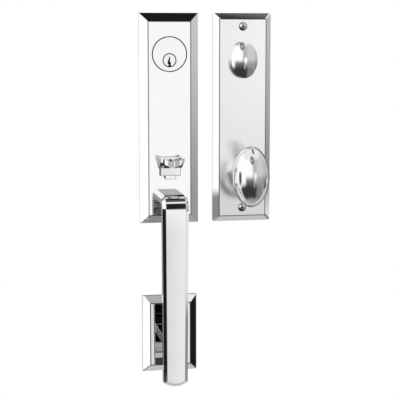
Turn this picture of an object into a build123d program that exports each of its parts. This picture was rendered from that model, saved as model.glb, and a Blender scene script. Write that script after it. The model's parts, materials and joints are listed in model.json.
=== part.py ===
"""Entry door handleset: exterior plate, grip and rosette beside the interior plate, knob and turn.

Millimetres. The backs of both trims lie in the plane Y = 0, which is the face of the door, and
the fronts face -Y. +Z is up. The origin is on the key plug's axis, at the back of the exterior
plate. A depth below is a distance in front of the door's face, so a depth of 10 is Y = -10.
"""
from build123d import *
import math
import os

# Driving sizes of the exterior plate
plate_width = 73.5
top_margin = 16.4
bottom_margin = 17.6
ext_thickness = 10.5
ext_edge = 2.5
ext_bevel = 10.5
ext_wall = 3.0

# Driving sizes of the lower rosette
rosette_width = 69.5
rosette_height = 98.0
rosette_drop = 202.6
rosette_bevel = 9.5

# Driving sizes of the interior plate
int_x = 92.0
int_thickness = 9.0
int_edge = 2.2
int_bevel = 7.4
int_wall = 2.5
int_corner = 2.5
int_inner_corner = 0.8

# Spacing of the two locks and of what the trims carry
lock_spacing = 139.7
post_room = 4.6
post_drop = 17.0

# Named clearances
running = 0.06
slide_gap = 0.3
thread_gap = 0.05
press_gap = 0.02

# Lock cylinder and key plug
cylinder_z = 7.4
head_radius = 21.5
head_gap = 0.3
head_depth = 4.0
body_radius = 15.5
body_back = 24.0
plug_face_radius = 8.5
plug_face_depth = 3.0
plug_radius = 6.4
plug_back = 27.0
keyway_depth = 30.0
clip_thickness = 0.9
clip_radius = 8.6
clip_groove = 1.0
tail_width = 7.0
tail_thickness = 2.0
tail_start = 22.0
tail_end = 62.0
pin_count = 5
pin_first_y = -2.0
pin_pitch = 4.0
pin_radius = 1.4
pin_hole = 1.5
pin_bitting = [0.6, 1.8, 1.2, 2.4, 0.9]
driver_length = 4.6
cap_width = 3.6
cap_thickness = 1.2
spring_wire = 0.3
spring_turns = 4

# Clamp ring behind the cylinder
boss_radius = 26.0
clamp_radius = 24.0
clamp_thickness = 2.4
clamp_screw_x = 18.4
clamp_screw_radius = 1.5
clamp_screw_bite = 2.6
clamp_screw_end_gap = 0.3
clamp_head_radius = 2.7
clamp_head_height = 1.8
clamp_slot_width = 0.8
clamp_slot_depth = 0.9

# Thumbpiece
thumb_pivot_depth = 3.2
thumb_pivot_rise = 1.7
thumb_pin_radius = 1.6
apron_width = 25.0
pad_root_width = 28.0
pad_nose_width = 29.6
thumb_reach = 30.0
tongue_width = 13.4
slot_rise = 12.2
slot_drop = 1.3
lug_width = 5.0
thumb_hub_radius = 4.0
thumb_tail_end = 30.0
thumb_tail_width = 9.0
thumb_tail_height = 5.0

# Grip
grip_top_width = 32.5
grip_end_width = 30.0
grip_thickness = 13.0
arm_thickness = 10.0
arm_drop = 22.3
grip_front_depth = 57.0
grip_end_depth = 54.5
grip_bend_radius = 18.0
grip_inner_radius = 7.0
grip_corner_drop = 51.2
grip_end_bulge = 5.0
leg_thickness = 11.0
leg_width = 28.0
grip_bevel = 4.0
grip_screw_radius = 2.5
grip_screw_depth = 18.0
grip_head_radius = 4.5
grip_head_height = 3.0
grip_hex_radius = 2.3
grip_hex_depth = 1.8
grip_washer_radius = 5.5
screw_boss_radius = 9.0
stud_radius = 3.0
stud_shank_radius = 2.7
stud_depth = 18.0
stud_back = 38.0
stud_boss_radius = 10.0
thread_start = 1.0

# Through bolt posts and the interior plate's screws
post_radius = 5.0
post_back = 22.0
post_stud_radius = 3.0
post_seat_depth = 4.0
post_thread_depth = 18.0
screw_radius = 2.4
screw_neck_radius = 2.1
screw_head_radius = 5.25
screw_head_cone = 2.6
screw_head_dome = 1.5
screw_back = 34.0

# Egg knob
knob_centre_depth = 58.0
knob_radius = 22.5
knob_half_height = 37.0
neck_radius = 12.4
waist_radius = 9.6
waist_depth = 24.0
journal_radius = 10.0
journal_back = 3.6
bush_radius = 13.0
spindle_side = 8.0
spindle_start_depth = 26.0
spindle_back = 45.0
set_screw_radius = 1.9
set_screw_depth = 17.0

# Thumbturn
turn_half_width = 16.25
turn_half_height = 22.15
turn_foot_ratio = 0.84
turn_rim_depth = 19.5
turn_dome = 5.5
turn_journal_radius = 6.0
turn_back = 3.0
turn_washer_thickness = 0.6
turn_tail_back = 55.0
seat_gap = 0.8

# Heights, each from what it hangs on
latch_axis_z = -lock_spacing
thumb_pivot_z = latch_axis_z + thumb_pivot_rise
slot_top = latch_axis_z + slot_rise
slot_bottom = latch_axis_z - slot_drop
arm_top_z = latch_axis_z - arm_drop
grip_screw_z = arm_top_z - arm_thickness / 2
post_top_z = cylinder_z + clamp_radius + post_radius + post_room
post_bottom_z = grip_screw_z - post_drop
plate_top = post_top_z + top_margin
plate_bottom = post_bottom_z - bottom_margin
plate_height = plate_top - plate_bottom
plate_centre_z = (plate_top + plate_bottom) / 2
rosette_centre_z = latch_axis_z - rosette_drop
leg_z = rosette_centre_z
grip_corner_z = leg_z - grip_corner_drop
int_face = -int_thickness


def depth_plane(depth, x=0.0, z=0.0):
    """Plane at a depth in front of the door, centred on x and z, facing the viewer."""
    return Plane(origin=(x, -depth, z), x_dir=(1, 0, 0), z_dir=(0, -1, 0))


def side_plane(x=0.0):
    """Upright plane across the trim at x: its first axis is depth, its second is height."""
    return Plane(origin=(x, 0, 0), x_dir=(0, -1, 0), z_dir=(-1, 0, 0))


def bevelled_block(x, z, width, height, edge, thickness, bevel, corner=0.0, inner=0.0, mode=Mode.ADD):
    """Rectangular plate with an upright edge and a bevel up to its flat face."""
    with BuildSketch(depth_plane(0, x, z)) as outline:
        plate_outline(width, height, corner)
    extrude(outline.sketch, amount=edge, mode=mode)
    with BuildSketch(depth_plane(edge, x, z)) as rim:
        plate_outline(width, height, corner)
    with BuildSketch(depth_plane(thickness, x, z)) as flat:
        plate_outline(width - 2 * bevel, height - 2 * bevel, inner)
    loft(sections=[rim.sketch.face(), flat.sketch.face()], mode=mode)


def plate_outline(width, height, corner):
    """Rectangle, with rounded corners where the plate has them."""
    if corner > 0:
        RectangleRounded(width, height, corner)
    else:
        Rectangle(width, height)


def disc(x, z, radius, start_depth, end_depth, mode=Mode.ADD):
    """Round boss or bore along Y between two depths."""
    with BuildSketch(depth_plane(start_depth, x, z)) as outline:
        Circle(radius)
    extrude(outline.sketch, amount=end_depth - start_depth, mode=mode)


def ring(x, z, outer, inner, start_depth, end_depth):
    """Flat ring or sleeve along Y between two depths."""
    with BuildSketch(depth_plane(start_depth, x, z)) as outline:
        Circle(outer)
        Circle(inner, mode=Mode.SUBTRACT)
    extrude(outline.sketch, amount=end_depth - start_depth)


def bar(x, z, width, height, start_depth, end_depth, mode=Mode.ADD):
    """Rectangular bar or slot along Y between two depths."""
    with BuildSketch(depth_plane(start_depth, x, z)) as outline:
        Rectangle(width, height)
    extrude(outline.sketch, amount=end_depth - start_depth, mode=mode)


def finish(builder, label):
    """Name a finished piece and write it."""
    builder.part.label = label
    export_step(builder.part, f"parts/{label}.step")


os.makedirs("parts", exist_ok=True)

# Exterior plate: a cast cover, hollow behind, with a boss for each thing that it carries
pin_bore = thumb_pin_radius + thread_gap
lug_inner = tongue_width / 2 + slide_gap
lug_outer = lug_inner + lug_width
head_seat = ext_thickness - head_depth
boss_back = head_seat - 3.6
screw_boss_back = ext_thickness - 6.0

with BuildPart() as exterior_plate:
    bevelled_block(0, plate_centre_z, plate_width, plate_height, ext_edge, ext_thickness, ext_bevel)
    bevelled_block(
        0, plate_centre_z, plate_width - 2 * ext_wall, plate_height - 2 * ext_wall,
        ext_edge, ext_thickness - ext_wall, ext_bevel, mode=Mode.SUBTRACT,
    )
    disc(0, cylinder_z, boss_radius, boss_back, ext_thickness - 1)
    disc(0, cylinder_z, head_radius + head_gap, head_seat, ext_thickness, mode=Mode.SUBTRACT)
    disc(0, cylinder_z, body_radius + head_gap, boss_back, head_seat, mode=Mode.SUBTRACT)
    for side in (-1, 1):
        disc(
            side * clamp_screw_x, cylinder_z, clamp_screw_radius + head_gap,
            boss_back, head_seat, mode=Mode.SUBTRACT,
        )
    for post_z in (post_top_z, post_bottom_z):
        disc(0, post_z, post_radius + 2, post_seat_depth, ext_thickness - 1)
        disc(
            0, post_z, post_stud_radius + thread_gap,
            post_seat_depth, ext_thickness - 2, mode=Mode.SUBTRACT,
        )
    disc(0, grip_screw_z, screw_boss_radius, screw_boss_back, ext_thickness - 1)
    disc(
        0, grip_screw_z, grip_screw_radius + head_gap,
        screw_boss_back, ext_thickness, mode=Mode.SUBTRACT,
    )
    for side in (-1, 1):
        lug_x = side * (lug_inner + lug_outer) / 2
        bar(lug_x, thumb_pivot_z, lug_width, 9.0, 0, ext_thickness - 1)
    with BuildSketch(side_plane(lug_outer + 1)):
        with Locations((thumb_pivot_depth, thumb_pivot_z)):
            Circle(pin_bore)
    extrude(amount=2 * lug_outer + 2, mode=Mode.SUBTRACT)
    bar(
        0, (slot_top + slot_bottom) / 2, tongue_width + 2 * slide_gap, slot_top - slot_bottom,
        0, ext_thickness, mode=Mode.SUBTRACT,
    )
finish(exterior_plate, "exterior_plate")

# Lock cylinder: round head in the plate's recess, body with the pin chambers above the plug
cap_seat = cylinder_z + body_radius - cap_thickness - 1.0
pin_ys = [pin_first_y + i * pin_pitch for i in range(pin_count)]
cap_front = pin_ys[0] - pin_hole - 1
cap_rear = pin_ys[-1] + pin_hole + 1
clamp_screw_tip = head_seat + clamp_screw_bite

with BuildPart() as lock_cylinder:
    disc(0, cylinder_z, head_radius, head_seat, ext_thickness)
    chamfer(lock_cylinder.faces().sort_by(Axis.Y)[0].outer_wire().edges(), 0.5)
    disc(0, cylinder_z, body_radius, -body_back, head_seat)
    disc(
        0, 0, plug_face_radius + 2 * running,
        ext_thickness - plug_face_depth - running, ext_thickness, mode=Mode.SUBTRACT,
    )
    disc(0, 0, plug_radius + running, -body_back, ext_thickness, mode=Mode.SUBTRACT)
    with BuildSketch(Plane.XY.offset(cylinder_z + body_radius)):
        for pin_y in pin_ys:
            with Locations((0, pin_y)):
                Circle(pin_hole)
    extrude(amount=-(cylinder_z + body_radius), mode=Mode.SUBTRACT)
    with BuildSketch(Plane.XY.offset(cap_seat)):
        with Locations((0, (cap_front + cap_rear) / 2)):
            Rectangle(cap_width, cap_rear - cap_front)
    extrude(amount=cap_thickness + 2, mode=Mode.SUBTRACT)
    for side in (-1, 1):
        disc(
            side * clamp_screw_x, cylinder_z, clamp_screw_radius + thread_gap,
            head_seat, clamp_screw_tip, mode=Mode.SUBTRACT,
        )
finish(lock_cylinder, "lock_cylinder")

# Strip that closes the pin chambers
with BuildPart() as pin_cap:
    with BuildSketch(Plane.XY.offset(cap_seat)):
        with Locations((0, (cap_front + cap_rear) / 2)):
            Rectangle(cap_width - 2 * thread_gap, cap_rear - cap_front - 2 * thread_gap)
    extrude(amount=cap_thickness)
finish(pin_cap, "pin_cap")

# Key plug: a stepped barrel with a warded keyway, pin holes, clip groove and tail slot
keyway_points = [
    (-0.5, 4.0), (0.9, 4.0), (0.9, 1.4), (0.1, 0.6), (0.1, -1.6), (1.7, -2.8), (1.7, -7.6),
    (-1.1, -7.6), (-1.1, -3.2), (-1.9, -2.4), (-1.9, 0.4), (-0.5, 1.6),
]
groove_start = body_back + slide_gap

with BuildPart() as key_plug:
    disc(0, 0, plug_face_radius, ext_thickness - plug_face_depth, ext_thickness)
    chamfer(key_plug.faces().sort_by(Axis.Y)[0].edges(), 0.35)
    disc(0, 0, plug_radius, -plug_back, ext_thickness - plug_face_depth)
    with BuildSketch(depth_plane(ext_thickness)):
        with BuildLine():
            Polyline(*keyway_points, close=True)
        make_face()
    extrude(amount=-keyway_depth, mode=Mode.SUBTRACT)
    with BuildSketch(Plane.XY.offset(plug_radius + 1)):
        for pin_y in pin_ys:
            with Locations((0, pin_y)):
                Circle(pin_hole)
    extrude(amount=-(plug_radius + 1), mode=Mode.SUBTRACT)
    with BuildSketch(depth_plane(-groove_start)):
        Circle(plug_radius + 1)
        Circle(plug_radius - clip_groove, mode=Mode.SUBTRACT)
    extrude(amount=-(clip_thickness + 2 * thread_gap), mode=Mode.SUBTRACT)
    bar(
        0, 0, tail_width + 2 * thread_gap, tail_thickness + 2 * thread_gap,
        -tail_start, -plug_back, mode=Mode.SUBTRACT,
    )
finish(key_plug, "key_plug")

# Snap ring that keeps the plug in its cylinder
with BuildPart() as plug_clip:
    ring(
        0, 0, clip_radius, plug_radius - clip_groove + thread_gap,
        -groove_start - thread_gap, -groove_start - thread_gap - clip_thickness,
    )
    bar(0, clip_radius, 4.0, 2 * clip_radius, -groove_start, -groove_start - 2, mode=Mode.SUBTRACT)
finish(plug_clip, "plug_clip")

# Tailpiece: the flat blade that the plug turns
with BuildPart() as cylinder_tailpiece:
    bar(0, 0, tail_width, tail_thickness, -tail_start, -tail_end)
    chamfer(cylinder_tailpiece.faces().sort_by(Axis.Y)[-1].edges().filter_by(Axis.Z), 1.5)
finish(cylinder_tailpiece, "cylinder_tailpiece")

# Bottom pins stand in the plug with their tops at the shear line
shear_z = plug_radius - 0.15
with BuildPart() as bottom_pins:
    for pin_y, cut in zip(pin_ys, pin_bitting):
        with BuildSketch(Plane(origin=(0, pin_y, 0), x_dir=(1, 0, 0), z_dir=(0, -1, 0))):
            with BuildLine():
                Polyline(
                    (0, cut), (0, shear_z), (pin_radius, shear_z),
                    (pin_radius, cut + 0.9), (0.4, cut), close=True,
                )
            make_face()
        revolve(axis=Axis((0, pin_y, 0), (0, 0, 1)))
finish(bottom_pins, "bottom_pins")

# Driver pins stand on the shear line in the cylinder, and a spring presses each one down
driver_start = plug_radius + running + 0.2
driver_top = driver_start + driver_length
with BuildPart() as driver_pins:
    with BuildSketch(Plane.XY.offset(driver_start)):
        for pin_y in pin_ys:
            with Locations((0, pin_y)):
                Circle(pin_radius)
    extrude(amount=driver_length)
finish(driver_pins, "driver_pins")

spring_height = cap_seat - driver_top - 2 * spring_wire - 2 * thread_gap
spring_pitch = spring_height / spring_turns
coil_radius = pin_radius - spring_wire
with BuildPart() as pin_springs:
    for pin_y in pin_ys:
        spring_base = (0, pin_y, driver_top + spring_wire + thread_gap)
        with BuildLine():
            coil = Helix(pitch=spring_pitch, height=spring_height, radius=coil_radius, center=spring_base)
        with BuildSketch(Plane(origin=coil @ 0, z_dir=coil % 0)):
            Circle(spring_wire)
        sweep(path=coil, is_frenet=True)
finish(pin_springs, "pin_springs")

# Clamp ring and screws that pull the cylinder's head into its recess
clamp_back = boss_back - clamp_thickness
with BuildPart() as cylinder_clamp:
    ring(0, cylinder_z, clamp_radius, body_radius + head_gap, clamp_back, boss_back)
    for side in (-1, 1):
        disc(
            side * clamp_screw_x, cylinder_z, clamp_screw_radius + head_gap,
            clamp_back, boss_back, mode=Mode.SUBTRACT,
        )
finish(cylinder_clamp, "cylinder_clamp")

clamp_head_back = clamp_back - clamp_head_height
with BuildPart() as clamp_screws:
    for side in (-1, 1):
        screw_x = side * clamp_screw_x
        disc(screw_x, cylinder_z, clamp_screw_radius, clamp_back, clamp_screw_tip - clamp_screw_end_gap)
        disc(screw_x, cylinder_z, clamp_head_radius, clamp_head_back, clamp_back)
        bar(
            screw_x, cylinder_z, 1.5 * clamp_head_radius, clamp_slot_width,
            clamp_head_back, clamp_head_back + clamp_slot_depth, mode=Mode.SUBTRACT,
        )
finish(clamp_screws, "clamp_screws")

# Thumbpiece: a pad dished both ways with raised corners and a rounded lip, an apron and tongue
# below, a neck and a tail. Each section of the pad has its depth, its width, and the heights over
# the latch's axis of its top's edges and middle, then of its underside's edges and middle.
pad_root_depth = ext_thickness + 0.5
pad_sections = [
    (pad_root_depth, pad_root_width, 21.5, 20.8, 7.3, 6.9),
    (pad_root_depth + 11.0, (pad_root_width + pad_nose_width) / 2, 19.4, 17.0, 11.6, 8.6),
    (pad_root_depth + 21.0, pad_nose_width, 21.8, 17.6, 17.6, 10.4),
    (pad_root_depth + 32.0, pad_nose_width, 22.6, 18.6, 19.6, 11.6),
]
nose_corner_depth = pad_root_depth + 19.0
nose_front_depth = pad_root_depth + 30.5
nose_rounding = 1.0
under_root_z = latch_axis_z + 7.3
apron_front = 15.5
apron_back = 12.3
apron_z = latch_axis_z - 1.8
tongue_front = 16.2
tongue_back = 13.5
tongue_z = latch_axis_z - 5.9
neck_top_z = latch_axis_z + 11.5
neck_bottom_z = latch_axis_z + 1.1
spring_notch = 5.2
thumb_tail_z = latch_axis_z

with BuildPart() as thumbpiece:
    for depth, width, top_edge, top_middle, under_edge, under_middle in pad_sections:
        with BuildSketch(depth_plane(depth, 0, latch_axis_z)):
            with BuildLine():
                ThreePointArc((-width / 2, top_edge), (0, top_middle), (width / 2, top_edge))
                Line((width / 2, top_edge), (width / 2, under_edge))
                ThreePointArc((width / 2, under_edge), (0, under_middle), (-width / 2, under_edge))
                Line((-width / 2, under_edge), (-width / 2, top_edge))
            make_face()
    loft()
    with BuildSketch(Plane.XY.offset(latch_axis_z)):
        with BuildLine():
            ThreePointArc(
                (-pad_nose_width / 2 - 0.5, -nose_corner_depth), (0, -nose_front_depth),
                (pad_nose_width / 2 + 0.5, -nose_corner_depth),
            )
            Polyline(
                (pad_nose_width / 2 + 0.5, -nose_corner_depth), (pad_nose_width / 2 + 0.5, 0),
                (-pad_nose_width / 2 - 0.5, 0), (-pad_nose_width / 2 - 0.5, -nose_corner_depth),
            )
        make_face()
    extrude(amount=thumb_reach, mode=Mode.INTERSECT)
    fillet(thumbpiece.faces().sort_by(Axis.Y)[0].edges(), nose_rounding)
    with BuildSketch(side_plane(apron_width / 2)):
        with BuildLine():
            Polyline(
                (apron_back, under_root_z + 3), (apron_back, apron_z), (apron_front, apron_z),
                (apron_front + 1.2, under_root_z + 3), close=True,
            )
        make_face()
    extrude(amount=apron_width)
    bar(0, (apron_z + tongue_z) / 2 + 1, tongue_width, apron_z - tongue_z + 2, tongue_back, tongue_front)
    with BuildSketch(side_plane(tongue_width / 2)):
        with BuildLine():
            Polyline(
                (apron_back + 1, neck_top_z), (apron_back + 1, neck_bottom_z),
                (thumb_pivot_depth, neck_bottom_z - 1), (thumb_pivot_depth, neck_top_z - 6),
                (ext_thickness - ext_wall, neck_top_z), close=True,
            )
        make_face()
    extrude(amount=tongue_width)
    with BuildSketch(side_plane(tongue_width / 2)):
        with Locations((thumb_pivot_depth, thumb_pivot_z)):
            Circle(thumb_hub_radius)
    extrude(amount=tongue_width)
    bar(0, thumb_tail_z, thumb_tail_width, thumb_tail_height, -thumb_tail_end, thumb_pivot_depth)
    with BuildSketch(side_plane(tongue_width / 2 + 1)):
        with Locations((thumb_pivot_depth, thumb_pivot_z)):
            Circle(thumb_pin_radius + running)
    extrude(amount=tongue_width + 2, mode=Mode.SUBTRACT)
    with BuildSketch(side_plane(spring_notch / 2)):
        with Locations((thumb_pivot_depth, thumb_pivot_z)):
            Circle(thumb_hub_radius + 0.1)
    extrude(amount=spring_notch, mode=Mode.SUBTRACT)
finish(thumbpiece, "thumbpiece")

# Pivot pin in the lugs behind the plate's slot
with BuildPart() as thumb_pivot_pin:
    with BuildSketch(side_plane(lug_outer)):
        with Locations((thumb_pivot_depth, thumb_pivot_z)):
            Circle(thumb_pin_radius)
    extrude(amount=2 * lug_outer)
    chamfer(thumb_pivot_pin.edges().filter_by(GeomType.CIRCLE), 0.4)
finish(thumb_pivot_pin, "thumb_pivot_pin")

# Torsion spring on the pivot pin
thumb_wire = 0.5
thumb_coil_radius = thumb_pin_radius + thumb_wire + 0.35
thumb_coil_length = spring_notch - 2 * thumb_wire - 2 * slide_gap
with BuildPart() as thumb_spring:
    with BuildLine():
        thumb_coil = Helix(
            pitch=thumb_coil_length / 4, height=thumb_coil_length, radius=thumb_coil_radius,
            center=(-thumb_coil_length / 2, -thumb_pivot_depth, thumb_pivot_z), direction=(1, 0, 0),
        )
    with BuildSketch(Plane(origin=thumb_coil @ 0, z_dir=thumb_coil % 0)):
        Circle(thumb_wire)
    sweep(path=thumb_coil, is_frenet=True)
finish(thumb_spring, "thumb_spring")

# Grip: one casting, an arm that leaves the plate, a bowed bar and a leg to the rosette
arm_end = (grip_front_depth - grip_bend_radius, arm_top_z)
shoulder = (grip_front_depth, arm_top_z - grip_bend_radius)
grip_tip = (grip_end_depth, grip_corner_z - grip_end_bulge - 2)
arm_under_z = arm_top_z - arm_thickness
grip_back_depth = grip_front_depth - grip_thickness
arm_under_end = (grip_back_depth - grip_inner_radius, arm_under_z)
inner_shoulder = (grip_back_depth, arm_under_z - grip_inner_radius)
inner_tip = (grip_end_depth - grip_thickness, grip_tip[1])


def on_front_corner(edge):
    """Whether an edge is one of the outer corners that run from the arm down to the end."""
    centre = edge.center()
    across = abs(centre.X) < 1 and centre.Z > grip_corner_z
    outside = centre.Y < -(grip_back_depth + grip_thickness * 0.45) or centre.Z > arm_top_z - 1
    return outside and not across and -centre.Y > ext_thickness + 0.5


with BuildPart() as grip:
    with BuildSketch(side_plane(grip_top_width / 2)):
        with BuildLine():
            Line((ext_thickness, arm_top_z), arm_end)
            TangentArc(arm_end, shoulder, tangent=(1, 0))
            TangentArc(shoulder, grip_tip, tangent=(0, -1))
            Line(grip_tip, inner_tip)
            ThreePointArc(
                inner_tip, (grip_back_depth - 0.7, (inner_shoulder[1] + inner_tip[1]) / 2),
                inner_shoulder,
            )
            TangentArc(arm_under_end, inner_shoulder, tangent=(1, 0))
            Line(arm_under_end, (ext_thickness, arm_under_z))
            Line((ext_thickness, arm_under_z), (ext_thickness, arm_top_z))
        make_face()
    extrude(amount=grip_top_width)
    with BuildSketch(depth_plane(0)):
        with BuildLine():
            left = Line((-grip_end_width / 2, grip_corner_z), (-grip_top_width / 2, shoulder[1]))
            Polyline(
                (-grip_top_width / 2, shoulder[1]), (-grip_top_width / 2, arm_top_z + 1),
                (grip_top_width / 2, arm_top_z + 1), (grip_top_width / 2, shoulder[1]),
                (grip_end_width / 2, grip_corner_z),
            )
            ThreePointArc(
                (grip_end_width / 2, grip_corner_z), (0, grip_corner_z - grip_end_bulge),
                (-grip_end_width / 2, grip_corner_z),
            )
        make_face()
    extrude(amount=grip_front_depth + 5, mode=Mode.INTERSECT)
    chamfer(grip.edges().filter_by(on_front_corner), grip_bevel)
    bar(0, leg_z, leg_width, leg_thickness, ext_thickness, grip_back_depth + 3)
    disc(
        0, grip_screw_z, grip_screw_radius + thread_gap,
        ext_thickness, ext_thickness + grip_screw_depth, mode=Mode.SUBTRACT,
    )
    disc(
        0, leg_z, stud_shank_radius + thread_gap,
        ext_thickness, ext_thickness + stud_depth, mode=Mode.SUBTRACT,
    )
finish(grip, "grip")

# Screw and washer that hold the arm to the plate from behind
washer_thickness = 1.2
washer_back = screw_boss_back - washer_thickness
with BuildPart() as grip_washer:
    ring(0, grip_screw_z, grip_washer_radius, grip_screw_radius + head_gap, washer_back, screw_boss_back)
finish(grip_washer, "grip_washer")

with BuildPart() as grip_screw:
    disc(0, grip_screw_z, grip_screw_radius, washer_back, ext_thickness + grip_screw_depth - 1)
    disc(0, grip_screw_z, grip_head_radius, washer_back - grip_head_height, washer_back)
    with BuildSketch(depth_plane(washer_back - grip_head_height, 0, grip_screw_z)):
        RegularPolygon(grip_hex_radius, 6)
    extrude(amount=grip_hex_depth, mode=Mode.SUBTRACT)
finish(grip_screw, "grip_screw")

# Lower rosette: hollow behind, with a boss round the stud
with BuildPart() as lower_rosette:
    bevelled_block(
        0, rosette_centre_z, rosette_width, rosette_height, ext_edge, ext_thickness, rosette_bevel,
    )
    bevelled_block(
        0, rosette_centre_z, rosette_width - 2 * ext_wall, rosette_height - 2 * ext_wall,
        ext_edge, ext_thickness - ext_wall, rosette_bevel, mode=Mode.SUBTRACT,
    )
    disc(0, leg_z, stud_boss_radius, 1.0, ext_thickness - 1)
    disc(0, leg_z, stud_radius + head_gap, 0, ext_thickness, mode=Mode.SUBTRACT)
finish(lower_rosette, "lower_rosette")

# Stud in the leg: a plain shank through the rosette, then the thread that goes through the door
with BuildPart() as bottom_stud:
    disc(0, leg_z, stud_shank_radius, -thread_start, ext_thickness + stud_depth - 1)
    disc(0, leg_z, stud_radius, -stud_back, -thread_start)
    chamfer(bottom_stud.faces().sort_by(Axis.Y)[0].edges(), 0.6)
    chamfer(bottom_stud.faces().sort_by(Axis.Y)[-1].edges(), 0.6)
finish(bottom_stud, "bottom_stud")

# Threaded posts behind the exterior plate, which take the interior plate's screws
with BuildPart() as through_posts:
    for post_z in (post_top_z, post_bottom_z):
        disc(0, post_z, post_stud_radius, post_seat_depth, ext_thickness - 2.4)
        disc(0, post_z, post_radius, -post_back, post_seat_depth)
        disc(
            0, post_z, screw_radius + thread_gap,
            -post_back, post_thread_depth - post_back, mode=Mode.SUBTRACT,
        )
finish(through_posts, "through_posts")

# Interior plate: softer corners, a narrower bevel, two screw bosses and two bearings
with BuildPart() as interior_plate:
    bevelled_block(
        int_x, plate_centre_z, plate_width, plate_height,
        int_edge, int_thickness, int_bevel, int_corner, int_inner_corner,
    )
    bevelled_block(
        int_x, plate_centre_z, plate_width - 2 * int_wall, plate_height - 2 * int_wall,
        int_edge, int_thickness - int_wall, int_bevel, mode=Mode.SUBTRACT,
    )
    for post_z in (post_top_z, post_bottom_z):
        disc(int_x, post_z, screw_head_radius + 1.5, 0, int_thickness - 1)
        with BuildSketch(Plane(origin=(int_x, 0, post_z), x_dir=(1, 0, 0), z_dir=(0, 0, 1))):
            with BuildLine():
                Polyline(
                    (0, 0), (screw_radius + slide_gap, 0),
                    (screw_radius + slide_gap, int_face + screw_head_cone),
                    (screw_head_radius + thread_gap, int_face + thread_gap),
                    (screw_head_radius + thread_gap, int_face), (0, int_face), close=True,
                )
            make_face()
        revolve(axis=Axis((int_x, 0, post_z), (0, 1, 0)), mode=Mode.SUBTRACT)
    disc(int_x, latch_axis_z, bush_radius + 3.5, 0, int_thickness - 1)
    disc(int_x, latch_axis_z, bush_radius, 0, int_thickness, mode=Mode.SUBTRACT)
    disc(int_x, 0, turn_journal_radius + 4, 0, int_thickness - 1)
    disc(int_x, 0, turn_journal_radius + running, 0, int_thickness, mode=Mode.SUBTRACT)
finish(interior_plate, "interior_plate")

# Oval head screws with a cross recess
recess_width = 1.3
recess_length = 5.6
recess_depth = 2.2
with BuildPart() as plate_screws:
    for post_z in (post_top_z, post_bottom_z):
        with BuildSketch(Plane(origin=(int_x, 0, post_z), x_dir=(1, 0, 0), z_dir=(0, 0, 1))):
            with BuildLine():
                rim = Polyline(
                    (0, screw_back), (screw_radius - 0.6, screw_back), (screw_radius, screw_back - 1),
                    (screw_radius, thread_start), (screw_neck_radius, thread_start),
                    (screw_neck_radius, int_face + screw_head_cone + screw_radius - screw_neck_radius),
                    (screw_radius, int_face + screw_head_cone), (screw_head_radius, int_face),
                )
                ThreePointArc(
                    (screw_head_radius, int_face),
                    (screw_head_radius * 0.55, int_face - screw_head_dome * 0.74),
                    (0, int_face - screw_head_dome),
                )
                Line((0, int_face - screw_head_dome), (0, screw_back))
            make_face()
        revolve(axis=Axis((int_x, 0, post_z), (0, 1, 0)))
        recess_start = int_thickness + screw_head_dome + 0.5
        recess_end = int_thickness + screw_head_dome - recess_depth
        bar(int_x, post_z, recess_width, recess_length, recess_start, recess_end, mode=Mode.SUBTRACT)
        bar(int_x, post_z, recess_length, recess_width, recess_start, recess_end, mode=Mode.SUBTRACT)
finish(plate_screws, "plate_screws")

# Nylon bush that the knob's journal turns in
with BuildPart() as knob_bush:
    ring(
        int_x, latch_axis_z, bush_radius - press_gap, journal_radius + running,
        0, int_thickness,
    )
finish(knob_bush, "knob_bush")

# Egg knob: a spheroid with its long axis upright, on a waisted neck and a journal
knob_groove = clip_thickness + 2 * thread_gap
groove_depth_start = -slide_gap
egg_back = knob_centre_depth - knob_radius
egg_angles = [math.radians(-90 + 15 * i) for i in range(13)]
egg_profile = [(knob_radius * math.cos(t), knob_half_height * math.sin(t)) for t in egg_angles]
lower_profile = egg_profile[:7]
upper_profile = egg_profile[6:]
with BuildPart() as egg_knob:
    with BuildSketch(Plane(origin=(int_x, 0, latch_axis_z), x_dir=(1, 0, 0), z_dir=(0, 0, 1))):
        with BuildLine():
            neck_face = int_face - seat_gap
            Polyline(
                (0, journal_back), (journal_radius - 0.6, journal_back),
                (journal_radius, journal_back - 0.6), (journal_radius, neck_face),
                (neck_radius, neck_face), (neck_radius, neck_face - 3.0),
            )
            ThreePointArc(
                (neck_radius, neck_face - 3.0), (waist_radius, -waist_depth),
                (neck_radius + 1.6, -egg_back - 4.0),
            )
            Polyline((neck_radius + 1.6, -egg_back - 4.0), (0, -egg_back - 4.0), (0, journal_back))
        make_face()
    revolve(axis=Axis((int_x, 0, latch_axis_z), (0, 1, 0)))
    with BuildSketch(depth_plane(groove_depth_start, int_x, latch_axis_z)):
        Circle(journal_radius + 1)
        Circle(journal_radius - clip_groove, mode=Mode.SUBTRACT)
    extrude(amount=-knob_groove, mode=Mode.SUBTRACT)
    bar(
        int_x, latch_axis_z, spindle_side + 2 * thread_gap, spindle_side + 2 * thread_gap,
        -journal_back, spindle_start_depth + 0.5, mode=Mode.SUBTRACT,
    )
    with BuildSketch(Plane(origin=(int_x, -set_screw_depth, latch_axis_z), x_dir=(1, 0, 0), z_dir=(0, 0, -1))):
        Circle(set_screw_radius + thread_gap)
    extrude(amount=neck_radius + 2, mode=Mode.SUBTRACT)
    for profile, starts, end_z in (
        (lower_profile, [(1, 0), (0, 1)], -knob_half_height),
        (upper_profile, [(0, 1), (-1, 0)], knob_half_height),
    ):
        with BuildSketch(depth_plane(knob_centre_depth, int_x, latch_axis_z)):
            with BuildLine():
                Spline(*profile, tangents=starts)
                Polyline((0, end_z), (0, 0), (knob_radius, 0))
            make_face()
        revolve(axis=Axis((int_x, -knob_centre_depth, latch_axis_z), (0, 0, 1)), clean=False)
finish(egg_knob, "egg_knob")

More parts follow.
